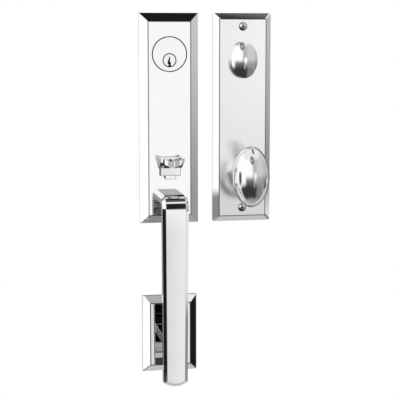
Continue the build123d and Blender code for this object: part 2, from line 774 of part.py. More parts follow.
# Set screw under the neck, square spindle and the snap ring behind the plate
with BuildPart() as knob_set_screw:
    screw_top_z = latch_axis_z - spindle_side / 2 - thread_gap
    with BuildSketch(Plane(origin=(int_x, -set_screw_depth, screw_top_z), x_dir=(1, 0, 0), z_dir=(0, 0, -1))):
        Circle(set_screw_radius)
    extrude(amount=waist_radius - spindle_side / 2)
    with BuildSketch(Plane(
        origin=(int_x, -set_screw_depth, screw_top_z - waist_radius + spindle_side / 2),
        x_dir=(1, 0, 0), z_dir=(0, 0, 1),
    )):
        RegularPolygon(1.0, 6)
    extrude(amount=1.6, mode=Mode.SUBTRACT)
finish(knob_set_screw, "knob_set_screw")

with BuildPart() as knob_spindle:
    bar(int_x, latch_axis_z, spindle_side, spindle_side, -spindle_back, spindle_start_depth)
    chamfer(knob_spindle.edges().filter_by(Axis.Y), 0.5)
finish(knob_spindle, "knob_spindle")

with BuildPart() as knob_clip:
    ring(
        int_x, latch_axis_z, bush_radius + 1, journal_radius - clip_groove + thread_gap,
        groove_depth_start - thread_gap, groove_depth_start - thread_gap - clip_thickness,
    )
    bar(
        int_x, latch_axis_z + bush_radius, 5.0, 2 * bush_radius,
        groove_depth_start, groove_depth_start - 2, mode=Mode.SUBTRACT,
    )
finish(knob_clip, "knob_clip")

# Thumbturn: an upright oval with walls that widen to its rim, a low dome and a journal
turn_base = int_thickness + seat_gap
turn_groove_start = turn_washer_thickness + slide_gap
dome_radius = (turn_half_width ** 2 / turn_dome + turn_dome) / 2
dome_centre_depth = turn_rim_depth + turn_dome - dome_radius
dome_half_height = dome_radius * turn_half_height / turn_half_width

with BuildPart() as thumbturn:
    with BuildSketch(depth_plane(dome_centre_depth, int_x, 0)):
        with BuildLine():
            EllipticalCenterArc((0, 0), dome_radius, dome_half_height, start_angle=-90, arc_size=180)
            Line((0, dome_half_height), (0, -dome_half_height))
        make_face()
    revolve(axis=Axis((int_x, -dome_centre_depth, 0), (0, 0, 1)))
    with BuildSketch(depth_plane(turn_rim_depth, int_x, 0)):
        Rectangle(3 * turn_half_width, 3 * turn_half_height)
    extrude(amount=2 * turn_dome, mode=Mode.INTERSECT)
    with BuildSketch(depth_plane(turn_base, int_x, 0)):
        Ellipse(turn_half_width * turn_foot_ratio, turn_half_height * turn_foot_ratio)
    with BuildSketch(depth_plane(turn_rim_depth, int_x, 0)):
        Ellipse(turn_half_width, turn_half_height)
    loft()
    disc(int_x, 0, turn_journal_radius, -turn_back, turn_base)
    with BuildSketch(depth_plane(-turn_groove_start, int_x, 0)):
        Circle(turn_journal_radius + 1)
        Circle(turn_journal_radius - clip_groove, mode=Mode.SUBTRACT)
    extrude(amount=-(clip_thickness + 2 * thread_gap), mode=Mode.SUBTRACT)
    bar(
        int_x, 0, tail_thickness + 2 * thread_gap, tail_width + 2 * thread_gap,
        -turn_back, int_thickness - 3, mode=Mode.SUBTRACT,
    )
finish(thumbturn, "thumbturn")

with BuildPart() as turn_washer:
    ring(int_x, 0, turn_journal_radius + 3, turn_journal_radius + slide_gap, -turn_washer_thickness, 0)
finish(turn_washer, "turn_washer")

with BuildPart() as turn_clip:
    ring(
        int_x, 0, turn_journal_radius + 2.4, turn_journal_radius - clip_groove + thread_gap,
        -turn_groove_start - thread_gap, -turn_groove_start - thread_gap - clip_thickness,
    )
    bar(
        int_x, turn_journal_radius + 2, 4.0, 2 * turn_journal_radius,
        -turn_groove_start, -turn_groove_start - 2, mode=Mode.SUBTRACT,
    )
finish(turn_clip, "turn_clip")

with BuildPart() as turn_tailpiece:
    bar(int_x, 0, tail_thickness, tail_width, -turn_tail_back, int_thickness - 3.2)
    chamfer(turn_tailpiece.faces().sort_by(Axis.Y)[-1].edges().filter_by(Axis.X), 1.5)
finish(turn_tailpiece, "turn_tailpiece")
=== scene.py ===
"""Looks of an entry door handleset: polished plates, squared grip, thumbpiece, egg knob and turn.

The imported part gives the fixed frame, in metres. The backs of both trims lie in the plane Y = 0,
the fronts face -Y and +Z is up. A depth is a distance in front of the door's face. Sizes here
are in millimetres, and the bench turns them into metres.
"""

import json
import logging
import math
from dataclasses import dataclass, field, replace
from enum import Enum
from typing import Callable, Optional, Sequence, Union

import bmesh
import bpy
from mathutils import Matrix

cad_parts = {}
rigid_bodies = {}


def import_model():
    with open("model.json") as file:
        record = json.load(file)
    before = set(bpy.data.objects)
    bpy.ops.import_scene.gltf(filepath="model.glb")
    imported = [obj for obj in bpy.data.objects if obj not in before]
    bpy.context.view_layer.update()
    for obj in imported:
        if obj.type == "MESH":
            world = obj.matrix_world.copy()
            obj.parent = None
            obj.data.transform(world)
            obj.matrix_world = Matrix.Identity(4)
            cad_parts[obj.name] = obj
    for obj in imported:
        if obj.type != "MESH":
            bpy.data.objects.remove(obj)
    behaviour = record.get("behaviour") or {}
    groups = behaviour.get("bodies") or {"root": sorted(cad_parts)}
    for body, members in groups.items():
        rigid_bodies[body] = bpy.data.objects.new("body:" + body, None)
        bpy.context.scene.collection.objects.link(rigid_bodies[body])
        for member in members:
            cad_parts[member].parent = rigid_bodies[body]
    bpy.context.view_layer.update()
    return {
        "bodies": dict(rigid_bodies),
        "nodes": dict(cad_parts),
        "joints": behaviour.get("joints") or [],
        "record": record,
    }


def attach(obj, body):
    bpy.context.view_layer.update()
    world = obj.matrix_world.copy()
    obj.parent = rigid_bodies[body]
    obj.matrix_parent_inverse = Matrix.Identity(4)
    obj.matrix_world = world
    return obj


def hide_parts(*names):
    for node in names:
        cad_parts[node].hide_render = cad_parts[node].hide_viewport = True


logging.basicConfig(level=logging.INFO, format="%(name)s: %(message)s")
LOG = logging.getLogger("handleset")

Point = tuple[float, float, float]
Pair = tuple[float, float]

MM = 0.001

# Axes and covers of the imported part, in millimetres. The deadbolt's axis is at height 0
LATCH_Z = -139.7
CYLINDER_Z = 7.4
GRIP_SCREW_Z = -167.0
POST_Z = (41.0, -184.0)
PIVOT: Pair = (3.2, -138.0)
INTERIOR_X = 92.0
PLATE_Z = -72.1
PLATE_SIZE: Pair = (73.5, 259.0)
ROSETTE_Z = -342.3
ROSETTE_SIZE: Pair = (69.5, 98.0)
FACE = 10.5
INNER_FACE = 9.0


class Way(Enum):
    """Axes that a rod, an outline or a spin can follow."""

    X = (1.0, 0.0, 0.0)
    Y = (0.0, 1.0, 0.0)
    Z = (0.0, 0.0, 1.0)


class Joinery(Enum):
    """How one solid is worked into another."""

    CUT = "DIFFERENCE"
    FUSE = "UNION"
    KEEP = "INTERSECT"


class Grain(Enum):
    """How the lines of a metal's polish run."""

    UPRIGHT = (1.0, 1.0, 0.03)
    LEVEL = (0.03, 1.0, 1.0)
    NONE = (1.0, 1.0, 1.0)


class Bench:
    """Modelling by operators: primitives, selections by place, cuts and finishing.

    Points closer than MERGE metres become one, and so do faces that meet at less than FLAT degrees.
    """

    MERGE = 2e-6
    FLAT = 0.4

    @staticmethod
    def pick(obj: bpy.types.Object) -> None:
        """Select one object alone and make it active.

        Args:
            obj: Piece to select.
        """
        bpy.ops.object.select_all(action="DESELECT")
        obj.select_set(True)
        bpy.context.view_layer.objects.active = obj

    @staticmethod
    def settle(name: str) -> bpy.types.Object:
        """Name the active object and put its place into its mesh.

        Args:
            name: Name of the piece and of its mesh.

        Returns:
            The active object.
        """
        obj = bpy.context.active_object
        obj.name = name
        obj.data.name = name
        bpy.ops.object.transform_apply(location=True, rotation=True, scale=True)
        return obj

    @classmethod
    def block(cls, name: str, low: Point, high: Point) -> bpy.types.Object:
        """Add a cube between two corners.

        Args:
            name: Name of the new piece.
            low: Lowest corner in millimetres.
            high: Highest corner in millimetres.

        Returns:
            The new object.
        """
        bpy.ops.object.select_all(action="DESELECT")
        centre = [(a + b) / 2 * MM for a, b in zip(low, high)]
        bpy.ops.mesh.primitive_cube_add(size=1, location=centre)
        bpy.context.active_object.scale = [(b - a) * MM for a, b in zip(low, high)]
        return cls.settle(name)

    @classmethod
    def rod(cls, name: str, start: Point, radius: float, length: float,
            way: Way = Way.Y, sides: int = 96) -> bpy.types.Object:
        """Add a cylinder that begins at a point and runs along an axis.

        Args:
            name: Name of the new piece.
            start: Centre of its first end in millimetres.
            radius: Radius in millimetres.
            length: Length in millimetres, towards the axis's positive end.
            way: Axis that it follows.
            sides: Number of sides.

        Returns:
            The new object.
        """
        bpy.ops.object.select_all(action="DESELECT")
        turns = {Way.X: (0, math.pi / 2, 0), Way.Y: (math.pi / 2, 0, 0), Way.Z: (0, 0, 0)}
        centre = [(s + w * length / 2) * MM for s, w in zip(start, way.value)]
        bpy.ops.mesh.primitive_cylinder_add(
            vertices=sides, radius=radius * MM, depth=length * MM, location=centre, rotation=turns[way])
        return cls.settle(name)

    @classmethod
    def ball(cls, name: str, centre: Point, radii: Point, segments: int = 128) -> bpy.types.Object:
        """Add a sphere stretched to three radii, with its poles up and down.

        Args:
            name: Name of the new piece.
            centre: Its centre in millimetres.
            radii: Its radii along X, Y and Z in millimetres.
            segments: Number of segments round.

        Returns:
            The new object.
        """
        bpy.ops.object.select_all(action="DESELECT")
        bpy.ops.mesh.primitive_uv_sphere_add(
            segments=segments, ring_count=segments // 2, radius=MM, location=[c * MM for c in centre])
        bpy.context.active_object.scale = radii
        return cls.settle(name)

    @classmethod
    def shift(cls, obj: bpy.types.Object, move: Point) -> None:
        """Move a piece and put its new place into its mesh.

        Args:
            obj: Piece to move.
            move: How far it moves in millimetres.
        """
        cls.pick(obj)
        obj.location = [m * MM for m in move]
        bpy.ops.object.transform_apply(location=True, rotation=True, scale=True)

    @classmethod
    def work(cls, target: bpy.types.Object, tool: bpy.types.Object, how: Joinery) -> None:
        """Cut, fuse or keep with a second solid, which is used up.

        Args:
            target: Piece that is worked.
            tool: Solid that works it.
            how: What the solid does to it.
        """
        cls.pick(target)
        step = target.modifiers.new("work", "BOOLEAN")
        step.operation = how.value
        step.solver = "EXACT"
        step.object = tool
        bpy.ops.object.modifier_apply(modifier=step.name)
        bpy.data.objects.remove(tool, do_unlink=True)

    @classmethod
    def choose(cls, obj: bpy.types.Object, test: Callable[[object], bool], kind: str = "FACE") -> int:
        """Enter edit mode and select the faces or edges that pass a test.

        Args:
            obj: Piece to edit.
            test: Function of a bmesh face or edge.
            kind: FACE or EDGE.

        Returns:
            How many were selected.
        """
        cls.pick(obj)
        bpy.ops.object.mode_set(mode="EDIT")
        bpy.context.tool_settings.mesh_select_mode = (False, kind == "EDGE", kind == "FACE")
        bpy.ops.mesh.select_all(action="DESELECT")
        mesh = bmesh.from_edit_mesh(obj.data)
        items = mesh.faces if kind == "FACE" else mesh.edges
        chosen = [item for item in items if test(item)]
        for item in chosen:
            item.select_set(True)
        bmesh.update_edit_mesh(obj.data)
        return len(chosen)

    @staticmethod
    def leave() -> None:
        """Go back to object mode."""
        bpy.ops.object.mode_set(mode="OBJECT")

    @staticmethod
    def draw_out(move: Point, scale: Point, centre: Point) -> None:
        """Extrude the selected faces, then scale them about a centre.

        Args:
            move: How far they are drawn out in millimetres.
            scale: Their stretch along each axis.
            centre: Point in millimetres that stays in place in the stretch.
        """
        bpy.ops.mesh.extrude_region_move(TRANSFORM_OT_translate={"value": [m * MM for m in move]})
        bpy.ops.transform.resize(value=scale, center_override=[c * MM for c in centre])

    @classmethod
    def taper(cls, obj: bpy.types.Object, share: float, centre: Point) -> None:
        """Narrow the end of a piece that faces away from the viewer.

        Args:
            obj: Piece to narrow.
            share: Size of the end after it, as a share of the size before.
            centre: Point in millimetres that it narrows towards.
        """
        cls.choose(obj, lambda face: face.normal.y > 0.9)
        bpy.ops.transform.resize(value=(share, 1, share), center_override=[c * MM for c in centre])
        cls.leave()

    @classmethod
    def soften(cls, obj: bpy.types.Object, width: float, segments: int = 3, angle: float = 24) -> None:
        """Round every edge sharper than an angle, and weight normals to the large faces.

        Args:
            obj: Piece to round.
            width: Width of the rounding in millimetres.
            segments: Number of faces across the rounding.
            angle: Angle in degrees past which an edge is rounded.
        """
        cls.pick(obj)
        bpy.ops.object.mode_set(mode="EDIT")
        bpy.ops.mesh.select_all(action="SELECT")
        bpy.ops.mesh.remove_doubles(threshold=cls.MERGE)
        bpy.ops.mesh.dissolve_limited(angle_limit=math.radians(cls.FLAT))
        bpy.ops.object.mode_set(mode="OBJECT")
        round_off = obj.modifiers.new("round", "BEVEL")
        round_off.width = width * MM
        round_off.segments = segments
        round_off.limit_method = "ANGLE"
        round_off.angle_limit = math.radians(angle)
        round_off.use_clamp_overlap = True
        round_off.miter_outer = "MITER_ARC"
        bpy.ops.object.modifier_apply(modifier=round_off.name)
        cls.shade(obj)

    @classmethod
    def shade(cls, obj: bpy.types.Object, angle: float = 40) -> None:
        """Shade smooth below an angle, with normals that keep large faces flat.

        Args:
            obj: Piece to shade.
            angle: Angle in degrees past which an edge stays sharp.
        """
        cls.pick(obj)
        bpy.ops.object.shade_smooth_by_angle(angle=math.radians(angle))
        weigh = obj.modifiers.new("weigh", "WEIGHTED_NORMAL")
        weigh.mode = "FACE_AREA"
        weigh.weight = 80
        weigh.keep_sharp = True
        bpy.ops.object.modifier_apply(modifier=weigh.name)


class Pen:
    """Traces an outline point by point with extrude, to be drawn out or spun to a solid.

    Points of a closed outline that are closer than CLOSE metres become one.
    """

    CLOSE = 1e-6

    def __init__(self, name: str, start: Pair, across: Way) -> None:
        """Begin an outline at a point.

        Args:
            name: Name of the new piece.
            start: First point: depth and height across X, x and height across Y, x and depth across Z.
            across: The axis that the outline's plane is square to.
        """
        self.across = across
        self.at = start
        bpy.ops.object.select_all(action="DESELECT")
        bpy.ops.mesh.primitive_plane_add(size=MM, location=self.place(start))
        self.obj = Bench.settle(name)
        bpy.ops.object.mode_set(mode="EDIT")
        bpy.context.tool_settings.mesh_select_mode = (True, False, False)
        bpy.ops.mesh.select_all(action="SELECT")
        bpy.ops.mesh.merge(type="CENTER")

    def place(self, point: Pair) -> Point:
        """Place of an outline's point in metres.

        Args:
            point: Point in the outline's plane, in millimetres.

        Returns:
            The point in space.
        """
        if self.across is Way.X:
            return (0.0, -point[0] * MM, point[1] * MM)
        if self.across is Way.Z:
            return (point[0] * MM, -point[1] * MM, 0.0)
        return (point[0] * MM, 0.0, point[1] * MM)

    def line(self, *points: Pair) -> "Pen":
        """Draw straight to each point in turn.

        Args:
            *points: Points in the outline's plane, in millimetres.

        Returns:
            This pen.
        """
        for point in points:
            here, there = self.place(self.at), self.place(point)
            bpy.ops.mesh.extrude_region_move(
                TRANSFORM_OT_translate={"value": [b - a for a, b in zip(here, there)]})
            self.at = point
        return self

    def arc(self, end: Pair, bulge: float, steps: int = 12) -> "Pen":
        """Draw an arc to a point.

        Args:
            end: Where it ends.
            bulge: Height of the arc over its chord, to the left of the way it goes.
            steps: Number of straight pieces.

        Returns:
            This pen.
        """
        sx, sz = self.at
        ex, ez = end
        chord = math.hypot(ex - sx, ez - sz)
        radius = (chord ** 2 / 4 + bulge ** 2) / (2 * abs(bulge))
        side = 1 if bulge > 0 else -1
        nx, nz = -(ez - sz) / chord * side, (ex - sx) / chord * side
        cx = (sx + ex) / 2 + nx * (abs(bulge) - radius)
        cz = (sz + ez) / 2 + nz * (abs(bulge) - radius)
        first = math.atan2(sz - cz, sx - cx)
        sweep = math.atan2(ez - cz, ex - cx) - first
        sweep = (sweep + math.pi) % (2 * math.pi) - math.pi
        for step in range(1, steps + 1):
            angle = first + sweep * step / steps
            self.line((cx + radius * math.cos(angle), cz + radius * math.sin(angle)))
        return self

    def prism(self, low: float, high: float) -> bpy.types.Object:
        """Close the outline, fill it and draw it out between two places along the axis across it.

        Args:
            low: Lower place in millimetres.
            high: Higher place in millimetres.

        Returns:
            The finished solid.
        """
        bpy.ops.mesh.select_all(action="SELECT")
        bpy.ops.mesh.remove_doubles(threshold=self.CLOSE)
        bpy.ops.mesh.edge_face_add()
        shift = [w * low * MM for w in self.across.value]
        bpy.ops.transform.translate(value=shift)
        run = [w * (high - low) * MM for w in self.across.value]
        bpy.ops.mesh.extrude_region_move(TRANSFORM_OT_translate={"value": run})
        bpy.ops.mesh.select_all(action="SELECT")
        bpy.ops.mesh.normals_make_consistent(inside=False)
        Bench.leave()
        return self.obj

    def lathe(self, centre: Point, way: Way, steps: int = 96) -> bpy.types.Object:
        """Spin the open outline once round an axis.

        Args:
            centre: A point on the axis in millimetres.
            way: Direction of the axis.
            steps: Number of steps round.

        Returns:
            The finished solid.
        """
        bpy.ops.mesh.select_all(action="SELECT")
        bpy.ops.mesh.spin(
            steps=steps, angle=2 * math.pi, center=[c * MM for c in centre], axis=way.value)
        bpy.ops.mesh.select_all(action="SELECT")
        bpy.ops.mesh.remove_doubles(threshold=Bench.MERGE)
        bpy.ops.mesh.normals_make_consistent(inside=False)
        Bench.leave()
        return self.obj


class Sock:
    """A shader socket with arithmetic. Each operator adds the Math node that works it out."""

    def __init__(self, tree: "Tree", out: bpy.types.NodeSocket) -> None:
        """Wrap an output socket of a tree."""
        self.tree = tree
        self.out = out

    def _math(self, operation: str, *values: Union["Sock", float]) -> "Sock":
        """Add a Math node over this tree's values."""
        node = self.tree.node("ShaderNodeMath", {"operation": operation}, dict(enumerate(values)))
        return Sock(self.tree, node.outputs[0])

    def __add__(self, other: Union["Sock", float]) -> "Sock":
        """Sum."""
        return self._math("ADD", self, other)

    __radd__ = __add__

    def __mul__(self, other: Union["Sock", float]) -> "Sock":
        """Product."""
        return self._math("MULTIPLY", self, other)

    __rmul__ = __mul__

    def __sub__(self, other: Union["Sock", float]) -> "Sock":
        """Difference."""
        return self._math("SUBTRACT", self, other)

    def __rsub__(self, other: Union["Sock", float]) -> "Sock":
        """Difference from a number."""
        return self._math("SUBTRACT", other, self)

    def __truediv__(self, other: Union["Sock", float]) -> "Sock":
        """Quotient."""
        return self._math("DIVIDE", self, other)

    def __neg__(self) -> "Sock":
        """Opposite."""
        return self._math("MULTIPLY", self, -1.0)

    def through(self, operation: str, *others: Union["Sock", float]) -> "Sock":
        """This value put through a Math node's function."""
        return self._math(operation, self, *others)

    def rise(self, low: float, high: float) -> "Sock":
        """Smooth step of this value.

        Args:
            low: Value at which the step is 0.
            high: Value at which the step is 1.

        Returns:
            The step.
        """
        node = self.tree.node(
            "ShaderNodeMapRange", {"interpolation_type": "SMOOTHSTEP"},
            {"Value": self, "From Min": low, "From Max": high})
        return Sock(self.tree, node.outputs["Result"])

    def fall(self, low: float, high: float) -> "Sock":
        """Smooth step from 1 at low to 0 at high."""
        return 1.0 - self.rise(low, high)

    def toward(self, other: Union["Sock", float], share: "Sock") -> "Sock":
        """Value that moves to another by a share."""
        return self * (1.0 - share) + share * other


class Tree:
    """Node tree of a material or of the world."""

    def __init__(self, owner: Union[bpy.types.Material, bpy.types.World]) -> None:
        """Start an empty node tree.

        Args:
            owner: Material or world that it belongs to.
        """
        owner.use_nodes = True
        self.nodes = owner.node_tree.nodes
        self.links = owner.node_tree.links
        self.nodes.clear()

    def node(self, kind: str, settings: Optional[dict] = None,
             values: Optional[dict] = None) -> bpy.types.Node:
        """Add a node.

        Args:
            kind: Type of the node.
            settings: Its properties, set first.
            values: Numbers, colours or sockets by the name or place of each input.

        Returns:
            The new node.
        """
        made = self.nodes.new(kind)
        for key, value in (settings or {}).items():
            setattr(made, key, value)
        for key, value in (values or {}).items():
            if isinstance(value, Sock):
                self.links.new(value.out, made.inputs[key])
            else:
                made.inputs[key].default_value = value
        return made

    def sock(self, made: bpy.types.Node, name: Union[str, int]) -> Sock:
        """One output of a node."""
        return Sock(self, made.outputs[name])

    def parts(self, vector: Sock) -> tuple[Sock, Sock, Sock]:
        """Split a vector.

        Args:
            vector: The vector.

        Returns:
            Its X, Y and Z.
        """
        split = self.node("ShaderNodeSeparateXYZ", {}, {"Vector": vector})
        return self.sock(split, "X"), self.sock(split, "Y"), self.sock(split, "Z")

    def noise(self, vector: Sock, scale: float, detail: float = 3.0, rough: float = 0.5) -> Sock:
        """Noise over a vector.

        Args:
            vector: Coordinates that it runs over.
            scale: Its fineness.
            detail: Number of finer layers in it.
            rough: How strong each finer layer is.

        Returns:
            A number about one half.
        """
        made = self.node(
            "ShaderNodeTexNoise", {"noise_dimensions": "3D"},
            {"Vector": vector, "Scale": scale, "Detail": detail, "Roughness": rough})
        return self.sock(made, "Fac")

    def place(self, scale: Point = (1, 1, 1), shift: Point = (0, 0, 0)) -> Sock:
        """Object coordinates, stretched and then moved.

        Args:
            scale: Stretch along each axis.
            shift: Move in metres.

        Returns:
            The coordinates as a vector.
        """
        coords = self.node("ShaderNodeTexCoord")
        made = self.node(
            "ShaderNodeMapping", {},
            {"Vector": self.sock(coords, "Object"), "Location": shift, "Scale": scale})
        return self.sock(made, "Vector")

    def tint(self, low: Point, high: Point, share: Sock) -> Sock:
        """Mix two colours.

        Args:
            low: Colour where the share is 0.
            high: Colour where the share is 1.
            share: Share of the second colour.

        Returns:
            The colour.
        """
        made = self.node(
            "ShaderNodeMix", {"data_type": "RGBA"},
            {"Factor": share, 6: (*low, 1.0), 7: (*high, 1.0)})
        return self.sock(made, 2)

    def bump(self, height: Sock, strength: float, distance: float) -> Sock:
        """Bump from a height.

        Args:
            height: The height, as a share of the distance.
            strength: How strongly it shows.
            distance: The distance in metres.

        Returns:
            The normal.
        """
        made = self.node(
            "ShaderNodeBump", {}, {"Height": height, "Strength": strength, "Distance": distance})
        return self.sock(made, "Normal")


@dataclass(frozen=True)
class Finish:
    """A finish: its name, and the two colours that its surface lies between."""

    name: str
    light: Point
    dark: Point

    def surface(self, tree: Tree) -> dict:
        """Values of the shader's sockets, which each kind of finish works out its own way.

        Args:
            tree: Node tree of the material.

        Returns:
            Values of the shader's sockets.
        """
        raise NotImplementedError

    def make(self) -> bpy.types.Material:
        """Build the material.

        Returns:
            The new material.
        """
        made = bpy.data.materials.new(self.name)
        tree = Tree(made)
        shader = tree.node("ShaderNodeBsdfPrincipled", {}, self.surface(tree))
        tree.node("ShaderNodeOutputMaterial", {}, {"Surface": tree.sock(shader, "BSDF")})
        return made


@dataclass(frozen=True)
class Metal(Finish):
    """A metal finish: its gloss, its polish lines and the size of its unevenness."""

    gloss: float
    haze: float
    grain: Grain = Grain.UPRIGHT
    lines: float = 0.02
    waves: float = 0.00001
    pits: float = 0.0

    def metal(self, tree: Tree, colour: Sock, rough: Sock, height: Sock, strength: float) -> dict:
        """Gather the sockets of a metal.

        Args:
            tree: Node tree of the material.
            colour: Its colour.
            rough: Its roughness.
            height: Height of its unevenness.
            strength: How strongly the height shows.

        Returns:
            Values of the shader's sockets.
        """
        normal = tree.bump(height, strength, self.waves)
        return {"Base Color": colour, "Metallic": 1.0, "Roughness": rough, "Normal": normal}

    def surface(self, tree: Tree) -> dict:
        """Clouded polish with fine lines, and with pits on plated steel.

        Args:
            tree: Node tree of the material.

        Returns:
            Values of the shader's sockets.
        """
        cloud = tree.noise(tree.place(), scale=34.0, detail=4.0, rough=0.55)
        swirl = tree.noise(tree.place(self.grain.value), scale=900.0, detail=2.0, rough=0.6)
        pitted = tree.noise(tree.place(), scale=2600.0, detail=1.0).rise(0.62, 0.7)
        rough = self.gloss + cloud.rise(0.35, 0.75) * self.haze + (swirl - 0.5) * self.lines
        if self.pits > 0:
            rough = rough + pitted * self.pits
        height = swirl * 0.25 + cloud + pitted * (self.pits * -2.0)
        colour = tree.tint(self.dark, self.light, cloud.rise(0.3, 0.7))
        return self.metal(tree, colour, rough, height, 0.35)


@dataclass(frozen=True)
class PlateMetal(Metal):
    """A plate's polish: painted shade in a thin dark line along its ridge, its face may be satin, its back
    is as cast.
    """

    centre: Pair = (0.0, PLATE_Z)
    half: Pair = (26.25, 119.0)
    front: float = FACE
    satin: float = 0.0
    # line scales the dark colour into the painted shade line along the ridge, which fades out between the
    # distances from the ridge given next
    line: float = 0.22
    shade_line_edge: Pair = (0.45, 0.85)
    cast: float = 0.38

    def surface(self, tree: Tree) -> dict:
        """Polish with the painted shade line along the ridge, worked out from the distance to the face's
        outline.

        Args:
            tree: Node tree of the material.

        Returns:
            Values of the shader's sockets.
        """
        x, y, z = tree.parts(tree.place(shift=(-self.centre[0] * MM, 0, -self.centre[1] * MM)))
        over_x = x.through("ABSOLUTE") - self.half[0] * MM
        over_z = z.through("ABSOLUTE") - self.half[1] * MM
        to_ridge = over_x.through("MAXIMUM", over_z).through("ABSOLUTE")
        ridge = to_ridge.rise(self.shade_line_edge[0] * MM, self.shade_line_edge[1] * MM)
        cloud = tree.noise(tree.place(), scale=34.0)
        lines = tree.noise(tree.place(self.grain.value), scale=900.0, detail=2.0)
        face = y.fall(-(self.front - 0.05) * MM, -(self.front - 0.3) * MM)
        shape = tree.node("ShaderNodeNewGeometry")
        back = tree.parts(tree.sock(shape, "Normal"))[1].rise(0.2, 0.4)
        rough = self.gloss + cloud * self.haze + (lines - 0.5) * self.lines
        rough = rough + face * self.satin + back * self.cast
        # painted shade: the dark line along the ridge, where the colour drops to the dark colour scaled by
        # line
        line = tuple(c * self.line for c in self.dark)
        colour = tree.tint(line, self.light, ridge * (cloud * 0.06 + 0.96))
        return self.metal(tree, colour, rough, cloud + lines * 0.2, 0.3)


@dataclass(frozen=True)
class TurnedFace(Metal):
    """A face that was turned: fine rings about a centre, inside a rim of painted shade."""

    centre: Point = (0.0, 0.0, 0.0)
    pitch: float = 4200.0
    # rim: radius past which the face is painted dark, as shade in the gap round it
    rim: float = 20.5
    keyway: bool = False

    def mouth_shade(self, x: Sock, z: Sock) -> Sock:
        """Share of the painted shade round the keyway's mouth: narrow above, bent to the left below.

        Args:
            x: Distance to the right of the plug's axis.
            z: Height above it.

        Returns:
            The share, from 0 to 1.
        """
        middle = z.fall(-2.6 * MM, -1.2 * MM) * z.rise(-5.0 * MM, -3.6 * MM) * -1.2 * MM - 0.1 * MM
        half = z.fall(-2.4 * MM, -1.0 * MM) * 0.7 * MM + 0.6 * MM
        beside = (x - middle).through("ABSOLUTE") - half
        return beside.fall(-0.12 * MM, 0.12 * MM) * z.fall(3.5 * MM, 3.8 * MM)

    def surface(self, tree: Tree) -> dict:
        """Rings on a bright front, with painted shade at the rim, in the gaps, in the keyway and round its
        mouth.

        Args:
            tree: Node tree of the material.

        Returns:
            Values of the shader's sockets.
        """
        x, depth, z = tree.parts(tree.place(shift=tuple(-c * MM for c in self.centre)))
        radius = (x * x + z * z).through("SQRT")
        ring = (radius * self.pitch).through("SINE")
        cloud = tree.noise(tree.place(), scale=60.0)
        # painted shade: only the front face inside the rim stays bright; the rim and the surfaces just
        # behind the face, in the gap and down the keyway, are painted dark
        bright = radius.fall((self.rim - 0.15) * MM, (self.rim + 0.2) * MM)
        bright = bright * depth.fall(-(FACE - 0.06) * MM, -(FACE - 0.2) * MM)
        # parts deep behind the door's face go back to bright, except in the keyway, whose painted shade
        # runs all the way in
        behind = depth.rise(-1.5 * MM, -1.0 * MM)
        # painted shade round the keyway's mouth and down the slot
        if self.keyway:
            bright = bright * (1.0 - self.mouth_shade(x, z))
            slot = x.through("ABSOLUTE").fall(1.5 * MM, 1.8 * MM) * radius.fall(5.8 * MM, 6.1 * MM)
            behind = behind * (1.0 - slot)
        bright = bright.toward(1.0, behind)
        colour = tree.tint(self.dark, self.light, bright * (cloud * 0.1 + 0.92))
        rough = self.gloss + cloud * self.haze + ring * self.lines + (1.0 - bright) * 0.5
        return self.metal(tree, colour, rough, ring * 0.5 + cloud, 0.4)


@dataclass(frozen=True)
class HeadMetal(Metal):
    """Polished screw heads with painted shade in the cross recess and on the rim and underside that sit in
    the plate's sinks.
    """

    mouth: float = 9.6
    floor: float = 5.5

    def surface(self, tree: Tree) -> dict:
        """Polish with painted shade between the recess's mouth and its floor.

        Args:
            tree: Node tree of the material.

        Returns:
            Values of the shader's sockets.
        """
        depth = tree.parts(tree.place())[1]
        # painted shade: everything between the depths of the mouth and the floor is painted dark
        recess_shade = depth.rise(-(self.mouth + 0.1) * MM, -(self.mouth - 0.3) * MM)
        recess_shade = recess_shade * depth.fall(-self.floor * MM, -(self.floor - 0.5) * MM)
        cloud = tree.noise(tree.place(), scale=260.0)
        colour = tree.tint(self.light, self.dark, recess_shade)
        return self.metal(tree, colour, self.gloss + cloud * self.haze, cloud, 0.4)


@dataclass(frozen=True)
class PadMetal(Metal):
    """The thumbpiece's polish, with painted shade lines along the edges of its apron and its tongue.

    The apron and the tongue are each given by half their width and the height of their foot.
    """

    apron: Pair = (12.5, -141.5)
    tongue: Pair = (6.7, -145.6)
    top: float = -129.6

    def surface(self, tree: Tree) -> dict:
        """Polish with the painted shade lines along the edges, which end where the pad begins.

        Args:
            tree: Node tree of the material.

        Returns:
            Values of the shader's sockets.
        """
        side, _, z = tree.parts(tree.place())
        x = side.through("ABSOLUTE")
        above = z.rise((self.apron[1] - 0.1) * MM, (self.apron[1] + 0.1) * MM)
        skirt = (x - self.apron[0] * MM).through("MAXIMUM", self.apron[1] * MM - z)
        chin = (x - self.tongue[0] * MM).through("MAXIMUM", self.tongue[1] * MM - z)
        # painted shade: a thin dark line just inside the outline of the apron and the tongue
        edge = chin.toward(skirt, above).rise(-0.75 * MM, -0.45 * MM)
        edge = edge * z.fall(self.top * MM, (self.top + 0.8) * MM)
        cloud = tree.noise(tree.place(), scale=60.0)
        lines = tree.noise(tree.place(self.grain.value), scale=900.0, detail=2.0)
        colour = tree.tint(self.light, self.dark, edge * (cloud * 0.1 + 0.9))
        rough = self.gloss + cloud * self.haze + (lines - 0.5) * self.lines
        return self.metal(tree, colour, rough, cloud + lines * 0.2, 0.3)


